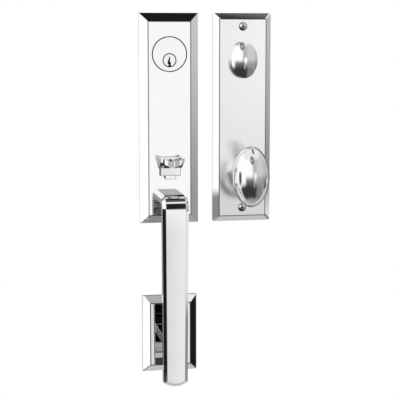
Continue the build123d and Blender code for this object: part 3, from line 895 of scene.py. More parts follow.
@dataclass(frozen=True)
class Nylon(Finish):
    """Moulded nylon of the bushes: matt, faintly mottled."""

    def surface(self, tree: Tree) -> dict:
        """Mottle in its colour, its gloss and its height.

        Args:
            tree: Node tree of the material.

        Returns:
            Values of the shader's sockets.
        """
        mottle = tree.noise(tree.place(), scale=300.0, detail=4.0)
        return {
            "Base Color": tree.tint(self.dark, self.light, mottle),
            "Roughness": 0.42 + mottle * 0.15,
            "Normal": tree.bump(mottle, 0.3, 0.00004),
        }


class Rack:
    """Keeps each finish's material, made once."""

    def __init__(self) -> None:
        """Start with no materials."""
        self.made: dict[str, bpy.types.Material] = {}

    def dress(self, obj: bpy.types.Object, finish: Finish) -> None:
        """Give an object one finish in place of its own materials.

        Args:
            obj: Piece or node to dress.
            finish: The finish that it gets.
        """
        if finish.name not in self.made:
            self.made[finish.name] = finish.make()
        if not obj.material_slots:
            obj.data.materials.append(None)
        for slot in obj.material_slots:
            slot.material = self.made[finish.name]


# In the plates' finishes the dark colour, scaled down by line, is the painted shade along the ridges.
PLATE_CHROME = PlateMetal(
    "plate_chrome", light=(0.93, 0.93, 0.935), dark=(0.90, 0.90, 0.905), gloss=0.02, haze=0.01,
    lines=0.004, waves=0.000002)
ROSETTE_CHROME = replace(
    PLATE_CHROME, name="rosette_chrome", centre=(0.0, ROSETTE_Z), half=(25.25, 39.5))
INNER_CHROME = PlateMetal(
    "inner_plate_chrome", light=(0.92, 0.92, 0.93), dark=(0.90, 0.90, 0.905), gloss=0.04, haze=0.01,
    lines=0.01, waves=0.000002, centre=(INTERIOR_X, PLATE_Z), half=(29.35, 122.1), front=INNER_FACE,
    satin=0.165, line=0.25)
GRIP_CHROME = Metal(
    "grip_chrome", light=(0.90, 0.90, 0.905), dark=(0.87, 0.87, 0.88), gloss=0.025, haze=0.015,
    lines=0.008, waves=0.000004)
# Its dark colour is the painted shade line along the edges of the apron and the tongue.
PAD_CHROME = PadMetal(
    "thumbpiece_chrome", light=(0.91, 0.91, 0.915), dark=(0.16, 0.16, 0.165), gloss=0.03, haze=0.02,
    lines=0.01, waves=0.00001)
KNOB_CHROME = Metal(
    "knob_chrome", light=(0.90, 0.90, 0.905), dark=(0.86, 0.86, 0.87), gloss=0.13, haze=0.05,
    grain=Grain.NONE, lines=0.01, waves=0.00012)
TURN_CHROME = Metal(
    "turn_chrome", light=(0.90, 0.90, 0.905), dark=(0.87, 0.87, 0.88), gloss=0.10, haze=0.03,
    grain=Grain.NONE, lines=0.01, waves=0.00001)
# The screws' dark colour is the painted shade in the recess and below the head's rim.
SCREW_CHROME = HeadMetal(
    "screw_chrome", light=(0.82, 0.82, 0.83), dark=(0.05, 0.05, 0.052), gloss=0.08, haze=0.05,
    waves=0.00002)
# The dark colour of the two turned faces is painted shade: at the rim, in the gaps and in the keyway.
CYLINDER_FACE = TurnedFace(
    "cylinder_face", light=(0.93, 0.93, 0.935), dark=(0.03, 0.03, 0.032), gloss=0.03, haze=0.01,
    lines=0.004, waves=0.000002, centre=(0, 0, CYLINDER_Z))
PLUG_FACE = TurnedFace(
    "plug_face", light=(0.90, 0.90, 0.905), dark=(0.03, 0.03, 0.032), gloss=0.05, haze=0.02,
    lines=0.006, waves=0.000003, rim=7.35, keyway=True)
ZINC = Metal(
    "zinc_plated_steel", light=(0.66, 0.67, 0.69), dark=(0.56, 0.57, 0.59), gloss=0.28, haze=0.14,
    grain=Grain.NONE, lines=0.05, waves=0.00003, pits=0.05)
SPRING_STEEL = Metal(
    "spring_steel", light=(0.52, 0.52, 0.53), dark=(0.42, 0.42, 0.44), gloss=0.26, haze=0.10,
    grain=Grain.NONE, lines=0.04)
BRASS = Metal(
    "turned_brass", light=(0.84, 0.68, 0.36), dark=(0.74, 0.57, 0.27), gloss=0.22, haze=0.12,
    grain=Grain.LEVEL, lines=0.04)
NYLON = Nylon("moulded_nylon", light=(0.82, 0.80, 0.74), dark=(0.74, 0.72, 0.66))


@dataclass
class BevelledPlate:
    """Cast cover with a mitred bevel round its face and a hollow back.

    A boss or a hole is given by its x, its height and its radius.
    """

    name: str
    node: str
    slot: str
    x: float
    z: float
    size: Pair
    thickness: float
    edge: float
    bevel: float
    wall: float
    corner: float = 0.0
    ridge: float = 0.8
    bosses: list[Point] = field(default_factory=list)
    boss_base: float = 1.0
    metal: Metal = PLATE_CHROME
    holes: list[Point] = field(default_factory=list)

    def form(self, name: str, back: float, rise: float, inset: float, corner: float) -> bpy.types.Object:
        """Model a bevelled slab: an upright edge, then mitred bevels to a smaller face.

        Args:
            name: Name of the new piece.
            back: Depth at which it starts.
            rise: Depth of its face.
            inset: How far it lies inside the cover's own outline.
            corner: Radius of its upright corners, or 0.

        Returns:
            The new object.
        """
        half_w, half_h = self.size[0] / 2 - inset, self.size[1] / 2 - inset
        obj = Bench.block(name, (self.x - half_w, -self.edge, self.z - half_h),
                          (self.x + half_w, -back, self.z + half_h))
        if corner > 0:
            Bench.choose(obj, lambda e: abs(e.verts[0].co.y - e.verts[1].co.y) > 0.1 * MM, "EDGE")
            bpy.ops.mesh.bevel(offset=corner * MM, segments=6, affect="EDGES")
            Bench.leave()
        Bench.choose(obj, lambda f: f.normal.y < -0.9)
        scale = ((half_w - self.bevel) / half_w, 1, (half_h - self.bevel) / half_h)
        Bench.draw_out((0, self.edge - rise, 0), scale, (self.x, 0, self.z))
        Bench.leave()
        return obj

    def shell(self) -> bpy.types.Object:
        """Model the cover and cut its hollow from behind.

        Returns:
            The open shell.
        """
        obj = self.form(self.name, 0, self.thickness, 0, self.corner)
        hollow = self.form("hollow", -1, self.thickness - self.wall, self.wall, 0)
        Bench.work(obj, hollow, Joinery.CUT)
        return obj

    def build(self, cuts: Sequence[bpy.types.Object] = (),
              adds: Sequence[bpy.types.Object] = ()) -> bpy.types.Object:
        """Model the cover with its bosses and holes, and round its ridges.

        Args:
            cuts: Further solids to cut from it.
            adds: Further solids to fuse to it.

        Returns:
            The new object.
        """
        obj = self.shell()
        for add in adds:
            Bench.work(obj, add, Joinery.FUSE)
        for x, z, radius in self.bosses:
            length = self.thickness - 1 - self.boss_base
            boss = Bench.rod("boss", (x, -self.thickness + 1, z), radius, length)
            Bench.work(obj, boss, Joinery.FUSE)
        for x, z, radius in self.holes:
            hole = Bench.rod("hole", (x, -self.thickness - 1, z), radius, self.thickness + 3)
            Bench.work(obj, hole, Joinery.CUT)
        for cut in cuts:
            Bench.work(obj, cut, Joinery.CUT)
        Bench.soften(obj, self.ridge)
        return obj

    def finish(self, obj: bpy.types.Object, rack: Rack) -> None:
        """Dress the cover and put it in its node's place.

        Args:
            obj: The cover.
            rack: Materials.
        """
        rack.dress(obj, self.metal)
        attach(obj, "trim")
        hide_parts(self.node)
        LOG.info("%s: %d faces", obj.name, len(obj.data.polygons))


@dataclass
class Grip:
    """Squared grip: an arm from the plate, a tight bend, a bar that narrows downwards and a foot leg."""

    top_width: float = 32.5
    end_width: float = 30.0
    thickness: float = 13.0
    arm: float = 10.0
    arm_top: float = -162.0
    front: float = 57.0
    end_front: float = 54.5
    bend: float = 18.0
    inner_bend: float = 7.0
    bow: float = 0.32
    corner_z: float = -393.5
    bulge: float = 5.0
    chamfer: float = 4.0
    ridge: float = 0.35
    leg: Pair = (28.0, 11.0)

    def side_form(self) -> bpy.types.Object:
        """Trace the side outline and draw it out across the grip.

        Returns:
            The solid before it is narrowed.
        """
        shoulder = self.arm_top - self.bend
        tip = self.corner_z - self.bulge - 2
        under = self.arm_top - self.arm
        back = self.front - self.thickness
        quarter = 1 - math.sqrt(0.5)
        pen = Pen("polished_grip", (FACE, self.arm_top), Way.X)
        pen.line((self.front - self.bend, self.arm_top))
        pen.arc((self.front, shoulder), self.bend * quarter, 20)
        pen.arc((self.end_front, tip), self.bow, 10)
        pen.line((self.end_front - self.thickness, tip))
        pen.arc((back, under - self.inner_bend), -self.bow, 10)
        pen.arc((back - self.inner_bend, under), -self.inner_bend * quarter, 14)
        pen.line((FACE, under), (FACE, self.arm_top))
        return pen.prism(-self.top_width / 2, self.top_width / 2)

    def front_form(self) -> bpy.types.Object:
        """Trace the front outline, which narrows to a rounded end, as a solid to keep inside.

        Returns:
            The solid.
        """
        top, end = self.top_width / 2 + 0.01, self.end_width / 2
        shoulder, above = self.arm_top - self.bend, self.arm_top + 2
        pen = Pen("grip_outline", (-top, above), Way.Y)
        pen.line((-top, shoulder), (-end, self.corner_z))
        pen.arc((end, self.corner_z), -self.bulge, 24)
        pen.line((top, shoulder), (top, above), (-top, above))
        return pen.prism(-self.front - 5, 0)

    def on_front_corner(self, edge: object) -> bool:
        """Whether an edge belongs to the outer corners that carry the wide chamfer.

        Args:
            edge: A bmesh edge of the grip.

        Returns:
            True on those corners.
        """
        a, b = (v.co / MM for v in edge.verts)
        mid = (a + b) / 2
        across = abs(a.x - b.x) > 20 or (abs(mid.x) < 1 and mid.z > self.corner_z)
        outer = mid.y < -(self.end_front - 1.5)
        on_bend = mid.z > self.arm_top - self.bend and self.over_bend(mid)
        return not across and (outer or on_bend) and -mid.y > FACE + 0.2

    def over_bend(self, mid: object) -> bool:
        """Whether a point lies on the outside of the bend or on the top of the arm.

        Args:
            mid: Point in millimetres.

        Returns:
            True there.
        """
        if -mid.y <= self.front - self.bend:
            return mid.z > self.arm_top - 0.5
        reach = math.hypot(-mid.y - (self.front - self.bend), mid.z - (self.arm_top - self.bend))
        return reach > self.bend - 0.8

    def build(self, rack: Rack) -> bpy.types.Object:
        """Model, chamfer and dress the grip.

        Args:
            rack: Materials.

        Returns:
            The new object.
        """
        obj = self.side_form()
        Bench.work(obj, self.front_form(), Joinery.KEEP)
        count = Bench.choose(obj, self.on_front_corner, "EDGE")
        LOG.info("grip corner edges: %d", count)
        bpy.ops.mesh.bevel(offset=self.chamfer * MM, segments=1, affect="EDGES", clamp_overlap=False)
        Bench.leave()
        half_w, half_h = self.leg[0] / 2, self.leg[1] / 2
        leg = Bench.block("leg", (-half_w, -self.front + self.thickness - 3, ROSETTE_Z - half_h),
                          (half_w, -FACE, ROSETTE_Z + half_h))
        Bench.work(obj, leg, Joinery.FUSE)
        Bench.soften(obj, self.ridge)
        rack.dress(obj, GRIP_CHROME)
        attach(obj, "trim")
        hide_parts("grip")
        LOG.info("%s: %d faces", obj.name, len(obj.data.polygons))
        return obj


@dataclass
class Thumbpiece:
    """Pad dished both ways with a rounded lip, an apron and tongue below, and the lever behind.

    A section of the pad holds its depth, half its width, then four heights above the latch's axis:
    its top at the edge and in the middle, and its underside at the edge and in the middle.
    """

    apron_width: float = 25.0
    tongue_width: float = 13.4
    nose_half: float = 15.3
    root_depth: float = 5.0
    corner_depth: float = 30.0
    front_depth: float = 41.5
    plan_heights: Pair = (-150.0, -100.0)
    lip: float = 1.0
    steps: int = 20
    stations: int = 12
    sections: tuple = (
        (11.0, 14.0, 21.5, 20.8, 7.3, 6.9),
        (22.0, 14.4, 19.4, 17.0, 11.6, 8.6),
        (32.0, 14.8, 21.8, 17.6, 17.6, 10.4),
        (43.0, 14.8, 22.6, 18.6, 19.6, 11.6),
    )
    apron_side: tuple = ((12.3, -129.4), (12.3, -141.5), (15.5, -141.5), (16.7, -129.4))
    lever_side: tuple = ((13.3, -128.2), (13.3, -138.6), (3.2, -139.6), (3.2, -134.2), (7.5, -128.2))
    tongue_low: Pair = (16.2, -145.6)
    tongue_high: Pair = (13.5, -140.5)
    hub_radius: float = 4.0
    bore_radius: float = 1.66
    spring_room: float = 5.2
    tail: Point = (9.0, 5.0, 30.0)

    def section(self, depth: float) -> list[float]:
        """Work out the pad's sizes at a depth, on the cubic through its four sections.

        Args:
            depth: Depth in millimetres.

        Returns:
            Half its width and its four heights.
        """
        sizes = []
        for column in range(1, len(self.sections[0])):
            total = 0.0
            for here in self.sections:
                term = here[column]
                for other in self.sections:
                    if other is not here:
                        term *= (depth - other[0]) / (here[0] - other[0])
                total += term
            sizes.append(total)
        return sizes

    def ring(self, depth: float) -> bpy.types.Object:
        """Trace the pad's outline at a depth, as a closed ring.

        Args:
            depth: Depth in millimetres.

        Returns:
            The ring's edges as an object.
        """
        half, top_edge, top_middle, under_edge, under_middle = self.section(depth)
        top, under = LATCH_Z + top_edge, LATCH_Z + under_edge
        pen = Pen("pad_ring", (-half, top), Way.Y)
        pen.arc((half, top), top_middle - top_edge, self.steps)
        pen.line((half, (top + under) / 2), (half, under))
        pen.arc((-half, under), under_edge - under_middle, self.steps)
        pen.line((-half, (top + under) / 2), (-half, top))
        bpy.ops.mesh.select_all(action="SELECT")
        bpy.ops.mesh.remove_doubles(threshold=pen.CLOSE)
        bpy.ops.transform.translate(value=(0, -depth * MM, 0))
        Bench.leave()
        return pen.obj

    def loft(self) -> bpy.types.Object:
        """Bridge the rings from the plate outwards and close both ends.

        Returns:
            The pad before its front is cut.
        """
        first, last = self.sections[0][0], self.sections[-1][0]
        rings = [self.ring(first + (last - first) * i / self.stations) for i in range(self.stations + 1)]
        Bench.pick(rings[0])
        for ring in rings:
            ring.select_set(True)
        bpy.ops.object.join()
        obj = bpy.context.active_object
        obj.name = "polished_thumbpiece"
        bpy.ops.object.mode_set(mode="EDIT")
        bpy.ops.mesh.select_all(action="SELECT")
        bpy.ops.mesh.bridge_edge_loops()
        Bench.leave()
        for depth in (first, last):
            Bench.choose(obj, lambda e: all(abs(v.co.y + depth * MM) < 1e-6 for v in e.verts), "EDGE")
            bpy.ops.mesh.edge_face_add()
            bpy.ops.mesh.select_all(action="SELECT")
            bpy.ops.mesh.normals_make_consistent(inside=False)
            Bench.leave()
        return obj

    def pad(self) -> bpy.types.Object:
        """Model the pad: the loft inside its plan, then the rounded lip.

        Returns:
            The new object.
        """
        obj = self.loft()
        half, root, corner = self.nose_half, self.root_depth, self.corner_depth
        plan = Pen("thumb_plan", (-half, root), Way.Z)
        plan.line((-half, corner))
        plan.arc((half, corner), self.front_depth - corner, 28)
        plan.line((half, root), (-half, root))
        Bench.work(obj, plan.prism(*self.plan_heights), Joinery.KEEP)
        Bench.choose(obj, self.on_lip, "EDGE")
        bpy.ops.mesh.bevel(offset=self.lip * MM, segments=4, affect="EDGES", clamp_overlap=True)
        Bench.leave()
        return obj

    def on_lip(self, edge: object) -> bool:
        """Whether an edge bounds the lip's upright front face above or below.

        Args:
            edge: A bmesh edge of the pad.

        Returns:
            True on those edges.
        """
        if len(edge.link_faces) != 2 or edge.verts[0].co.y > -(self.corner_depth - 1) * MM:
            return False
        first, second = (abs(f.normal.z) for f in edge.link_faces)
        return min(first, second) < 0.3 < 0.6 < max(first, second)

    def side(self, name: str, outline: tuple, half: float) -> bpy.types.Object:
        """Draw a side outline out across the thumbpiece.

        Args:
            name: Name of the new piece.
            outline: Its corners, each a depth and a height.
            half: Half its width.

        Returns:
            The new object.
        """
        pen = Pen(name, outline[0], Way.X)
        pen.line(*outline[1:], outline[0])
        return pen.prism(-half, half)

    def fuse_lever(self, obj: bpy.types.Object) -> None:
        """Fuse the apron, the tongue, the lever with its hub and the tail to the pad.

        Args:
            obj: The pad.
        """
        half = self.tongue_width / 2
        low, high = self.tongue_low, self.tongue_high
        depth, height = PIVOT
        wide, tall, end = self.tail
        parts = (
            self.side("apron", self.apron_side, self.apron_width / 2),
            Bench.block("tongue", (-half, -low[0], low[1]), (half, -high[0], high[1])),
            self.side("lever", self.lever_side, half),
            Bench.rod("hub", (-half, -depth, height), self.hub_radius, 2 * half, Way.X),
            Bench.block("tail", (-wide / 2, -depth, LATCH_Z - tall / 2),
                        (wide / 2, end, LATCH_Z + tall / 2)),
        )
        for part in parts:
            Bench.work(obj, part, Joinery.FUSE)

    def build(self, rack: Rack) -> bpy.types.Object:
        """Model and dress the thumbpiece.

        Args:
            rack: Materials.

        Returns:
            The new object.
        """
        obj = self.pad()
        self.fuse_lever(obj)
        depth, height = PIVOT
        reach = self.tongue_width / 2 + 1
        bore = Bench.rod("bore", (-reach, -depth, height), self.bore_radius, 2 * reach, Way.X, 48)
        Bench.work(obj, bore, Joinery.CUT)
        room = self.spring_room
        notch = Bench.rod("notch", (-room / 2, -depth, height), self.hub_radius + 0.1, room, Way.X)
        Bench.work(obj, notch, Joinery.CUT)
        Bench.soften(obj, 0.5, 3, 30)
        rack.dress(obj, PAD_CHROME)
        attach(obj, "thumb")
        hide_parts("thumbpiece")
        LOG.info("%s: %d faces", obj.name, len(obj.data.polygons))
        return obj


@dataclass
class EggKnob:
    """Egg knob: a spheroid with its long axis upright, on a waisted neck and a journal.

    The journal is given by its radius at each depth, from the chamfer behind the door's face to the
    foot of the neck.
    """

    x: float = INTERIOR_X
    depth: float = 58.0
    radius: float = 22.5
    half_height: float = 37.0
    journal: tuple = (
        (9.4, -3.6), (10.0, -3.0), (10.0, -1.4), (9.0, -1.3), (9.0, -0.3), (10.0, -0.3), (10.0, 9.8),
        (12.4, 9.8), (12.4, 12.8),
    )
    neck_end: Pair = (14.0, 39.5)
    waist: float = 3.6
    socket_half: float = 4.05
    socket_depth: float = 26.5
    set_screw_depth: float = 17.0
    set_screw_radius: float = 1.95

    def neck(self) -> bpy.types.Object:
        """Spin the neck with its journal, and cut the spindle's socket and the set screw's hole.

        Returns:
            The new object.
        """
        back = self.journal[0][1]
        pen = Pen("neck", (self.x, back), Way.Z)
        pen.line(*((self.x + radius, depth) for radius, depth in self.journal))
        pen.arc((self.x + self.neck_end[0], self.neck_end[1]), self.waist, 20)
        pen.line((self.x, self.neck_end[1]))
        obj = pen.lathe((self.x, 0, 0), Way.Y)
        Bench.shift(obj, (0, 0, LATCH_Z))
        half = self.socket_half
        socket = Bench.block("socket", (self.x - half, -self.socket_depth, LATCH_Z - half),
                             (self.x + half, 5, LATCH_Z + half))
        Bench.work(obj, socket, Joinery.CUT)
        reach = self.neck_end[0]
        hole = Bench.rod("set_hole", (self.x, -self.set_screw_depth, LATCH_Z - reach),
                         self.set_screw_radius, reach, Way.Z, 48)
        Bench.work(obj, hole, Joinery.CUT)
        return obj

    def build(self, rack: Rack) -> bpy.types.Object:
        """Model and dress the knob.

        Args:
            rack: Materials.

        Returns:
            The new object.
        """
        radii = (self.radius, self.radius, self.half_height)
        obj = Bench.ball("polished_egg_knob", (self.x, -self.depth, LATCH_Z), radii)
        Bench.work(obj, self.neck(), Joinery.FUSE)
        Bench.soften(obj, 0.3, 2, 35)
        rack.dress(obj, KNOB_CHROME)
        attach(obj, "knob")
        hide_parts("egg_knob")
        LOG.info("%s: %d faces", obj.name, len(obj.data.polygons))
        return obj


@dataclass
class Thumbturn:
    """Upright oval turn: walls that widen to a rim, a low dome, and a journal behind."""

    x: float = INTERIOR_X
    half_width: float = 16.25
    half_height: float = 22.15
    foot: float = 0.84
    base: float = 9.8
    rim: float = 19.5
    dome: float = 5.5
    rings: int = 14
    journal_radius: float = 6.0
    journal_back: float = 3.0
    groove_start: float = 0.9
    groove_width: float = 1.0
    groove_core: float = 5.0
    slot_half: Pair = (1.05, 3.55)

    def walls(self) -> bpy.types.Object:
        """Model the oval walls from the foot to the rim.

        Returns:
            The new object.
        """
        start = 0.01
        obj = Bench.rod("polished_thumbturn", (self.x, -self.base - start, 0), 1.0, start, Way.Y, 128)
        Bench.choose(obj, lambda face: True)
        size = (self.half_width * self.foot, 1, self.half_height * self.foot)
        bpy.ops.transform.resize(value=size, center_override=(self.x * MM, 0, 0))
        Bench.leave()
        Bench.choose(obj, lambda face: face.normal.y < -0.9)
        Bench.draw_out((0, self.base - self.rim, 0), (1 / self.foot, 1, 1 / self.foot), (self.x, 0, 0))
        return obj

    def cap(self) -> None:
        """Draw the dome out of the rim's face, which is selected, ring by ring."""
        radius = (self.half_width ** 2 / self.dome + self.dome) / 2
        angle = math.asin(self.half_width / radius)
        for ring in range(1, self.rings):
            share = 1 - ring / self.rings
            before = 1 - (ring - 1) / self.rings
            step = radius * (math.cos(angle * share) - math.cos(angle * before))
            scale = math.sin(angle * share) / math.sin(angle * before)
            Bench.draw_out((0, -step, 0), (scale, 1, scale), (self.x, 0, 0))
        Bench.leave()

    def build(self, rack: Rack) -> bpy.types.Object:
        """Model and dress the turn.

        Args:
            rack: Materials.

        Returns:
            The new object.
        """
        obj = self.walls()
        self.cap()
        length = self.base + 1 + self.journal_back
        journal = Bench.rod("journal", (self.x, -self.base - 1, 0), self.journal_radius, length)
        Bench.work(obj, journal, Joinery.FUSE)
        place = (self.x, self.groove_start, 0)
        groove = Bench.rod("groove", place, self.journal_radius + 2, self.groove_width)
        Bench.work(groove, Bench.rod("core", (self.x, 0, 0), self.groove_core, 3.0), Joinery.CUT)
        Bench.work(obj, groove, Joinery.CUT)
        wide, tall = self.slot_half
        slot = Bench.block("slot", (self.x - wide, -6, -tall), (self.x + wide, 5, tall))
        Bench.work(obj, slot, Joinery.CUT)
        Bench.soften(obj, 0.7, 4, 30)
        rack.dress(obj, TURN_CHROME)
        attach(obj, "turn")
        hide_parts("thumbturn")
        LOG.info("%s: %d faces", obj.name, len(obj.data.polygons))
        return obj


@dataclass
class OvalHeadScrews:
    """The two screws of the interior plate: domed heads with a cross recess and threaded shanks."""

    x: float = INTERIOR_X
    face: float = INNER_FACE
    head: float = 5.25
    dome: float = 1.5
    crown: float = 0.42
    shank: float = 2.4
    tip: Pair = (1.7, 34.0)
    thread_start: float = 33.0
    thread_end: float = 6.0
    thread_depth: float = 0.5
    pitch: float = 0.8
    collar: float = 5.4
    sink: float = 2.6
    recess_half: Pair = (0.65, 2.8)
    recess_depth: float = 0.9
    recess_taper: float = 0.6

    def blank(self) -> bpy.types.Object:
        """Spin a screw's outline: its tip, its thread's crests and roots, its collar and its head.

        Returns:
            The new object, on the deadbolt's height.
        """
        radius, back = self.tip
        crest, root = self.x + self.shank, self.x + self.shank - self.thread_depth
        pen = Pen("screw", (self.x, -back), Way.Z)
        pen.line((self.x + radius, -back), (self.x + radius, -self.thread_start))
        turn = self.thread_start
        while turn > self.thread_end:
            pen.line((crest, -(turn - self.pitch / 2)), (root, -(turn - self.pitch)))
            turn -= self.pitch
        pen.line((crest, -self.collar), (crest, self.face - self.sink), (self.x + self.head, self.face))
        pen.arc((self.x, self.face + self.dome), -self.crown, 14)
        return pen.lathe((self.x, 0, 0), Way.Y, 64)

    def one(self) -> bpy.types.Object:
        """Model the upper screw with its cross recess.

        Returns:
            The new object.
        """
        z = POST_Z[0]
        obj = self.blank()
        Bench.shift(obj, (0, 0, z))
        for wide, tall in (self.recess_half, self.recess_half[::-1]):
            bit = Bench.block("bit", (self.x - wide, -self.face - 3, z - tall),
                              (self.x + wide, -self.face + self.recess_depth, z + tall))
            Bench.taper(bit, self.recess_taper, (self.x, 0, z))
            Bench.work(obj, bit, Joinery.CUT)
        Bench.soften(obj, 0.12, 2, 40)
        return obj

    def build(self, rack: Rack) -> None:
        """Model a screw, copy it, and dress both in one piece as their node is.

        Args:
            rack: Materials.
        """
        upper = self.one()
        Bench.pick(upper)
        bpy.ops.object.duplicate()
        lower = bpy.context.active_object
        Bench.shift(lower, (0, 0, POST_Z[1] - POST_Z[0]))
        Bench.pick(upper)
        lower.select_set(True)
        bpy.ops.object.join()
        upper.name = "oval_head_screws"
        rack.dress(upper, SCREW_CHROME)
        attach(upper, "trim")
        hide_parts("plate_screws")
        LOG.info("%s: %d faces", upper.name, len(upper.data.polygons))


class HandleSet:
    """The whole set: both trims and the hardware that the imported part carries."""

    def __init__(self, frame: dict, rack: Rack) -> None:
        """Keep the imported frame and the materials.

        Args:
            rack: Materials.
        """
        self.nodes = frame["nodes"]
        self.rack = rack

    def exterior_plate(self) -> None:
        """Build the exterior plate with the cylinder's recess, the thumbpiece's slot and the lugs."""
        plate = BevelledPlate(
            "exterior_cover", "exterior_plate", "polished_trim", x=0, z=PLATE_Z, size=PLATE_SIZE,
            thickness=FACE, edge=2.5, bevel=10.5, wall=3, bosses=[(0, CYLINDER_Z, 26.0)], boss_base=2.9)
        inside, outside = 1 - FACE, -FACE - 1
        pin_depth, pin_z = PIVOT
        low, high = pin_z - 4.5, pin_z + 4.5
        adds = [Bench.rod("post_boss", (0, inside, z), 7.0, 5.5) for z in POST_Z]
        adds += [
            Bench.rod("screw_boss", (0, inside, GRIP_SCREW_Z), 9.0, 5.0),
            Bench.block("lug_left", (-12.0, inside, low), (-7.0, 0, high)),
            Bench.block("lug_right", (7.0, inside, low), (12.0, 0, high)),
        ]
        cuts = [
            Bench.rod("recess", (0, outside, CYLINDER_Z), 21.8, 5.0, sides=160),
            Bench.rod("body_hole", (0, -7.0, CYLINDER_Z), 15.8, 8.0, sides=128),
            Bench.block("slot", (-7.0, -12, -141.0), (7.0, 1, -127.5)),
            Bench.rod("pin_bore", (-13, -pin_depth, pin_z), 1.65, 26, Way.X, 32),
        ]
        cuts += [Bench.rod("post_seat", (0, -8.5, z), 3.05, 5.0, sides=48) for z in POST_Z]
        cuts.append(Bench.rod("grip_screw_hole", (0, outside, GRIP_SCREW_Z), 2.8, 9, sides=48))
        plate.finish(plate.build(cuts, adds), self.rack)

    def rosette(self) -> None:
        """Build the lower rosette."""
        plate = BevelledPlate(
            "rosette_cover", "lower_rosette", "rosette_metal", x=0, z=ROSETTE_Z, size=ROSETTE_SIZE,
            thickness=FACE, edge=2.5, bevel=9.5, wall=3, bosses=[(0, ROSETTE_Z, 10.0)],
            holes=[(0, ROSETTE_Z, 3.3)], metal=ROSETTE_CHROME)
        plate.finish(plate.build(), self.rack)

    def interior_plate(self) -> None:
        """Build the interior plate with its softer corners, its bearings and the screws' sinks."""
        x = INTERIOR_X
        bosses = [(x, LATCH_Z, 16.5), (x, 0, 10.0), *((x, z, 6.75) for z in POST_Z)]
        holes = [(x, LATCH_Z, 13.0), (x, 0, 6.06), *((x, z, 2.75) for z in POST_Z)]
        plate = BevelledPlate(
            "interior_cover", "interior_plate", "interior_trim", x=x, z=PLATE_Z, size=PLATE_SIZE,
            thickness=INNER_FACE, edge=2.2, bevel=7.4, wall=2.5, corner=2.5, ridge=0.6,
            bosses=bosses, boss_base=0.0, holes=holes, metal=INNER_CHROME)
        cuts = []
        for z in POST_Z:
            sink = Bench.rod("sink", (x, -INNER_FACE - 0.1, z), 5.35, 2.7, sides=64)
            Bench.taper(sink, 0.52, (x, 0, z))
            cuts.append(sink)
        plate.finish(plate.build(cuts), self.rack)

    def carried(self) -> None:
        """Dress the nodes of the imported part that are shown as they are."""
        plan = {
            CYLINDER_FACE: ["lock_cylinder"],
            PLUG_FACE: ["key_plug"],
            NYLON: ["knob_bush", "turn_washer"],
            BRASS: ["bottom_pins", "driver_pins", "pin_cap"],
            SPRING_STEEL: ["pin_springs", "thumb_spring", "plug_clip", "knob_clip", "turn_clip"],
            ZINC: ["cylinder_tailpiece", "cylinder_clamp", "clamp_screws", "thumb_pivot_pin", "grip_washer",
                   "grip_screw", "bottom_stud", "through_posts", "knob_set_screw", "knob_spindle",
                   "turn_tailpiece"],
        }
        for finish, names in plan.items():
            for name in names:
                self.rack.dress(self.nodes[name], finish)
                LOG.info("%s: %s", name, finish.name)

    def build(self) -> None:
        """Build every piece in order."""
        self.exterior_plate()
        self.rosette()
        self.interior_plate()
        Grip().build(self.rack)
        Thumbpiece().build(self.rack)
        EggKnob().build(self.rack)
        Thumbturn().build(self.rack)
        OvalHeadScrews().build(self.rack)
        self.carried()


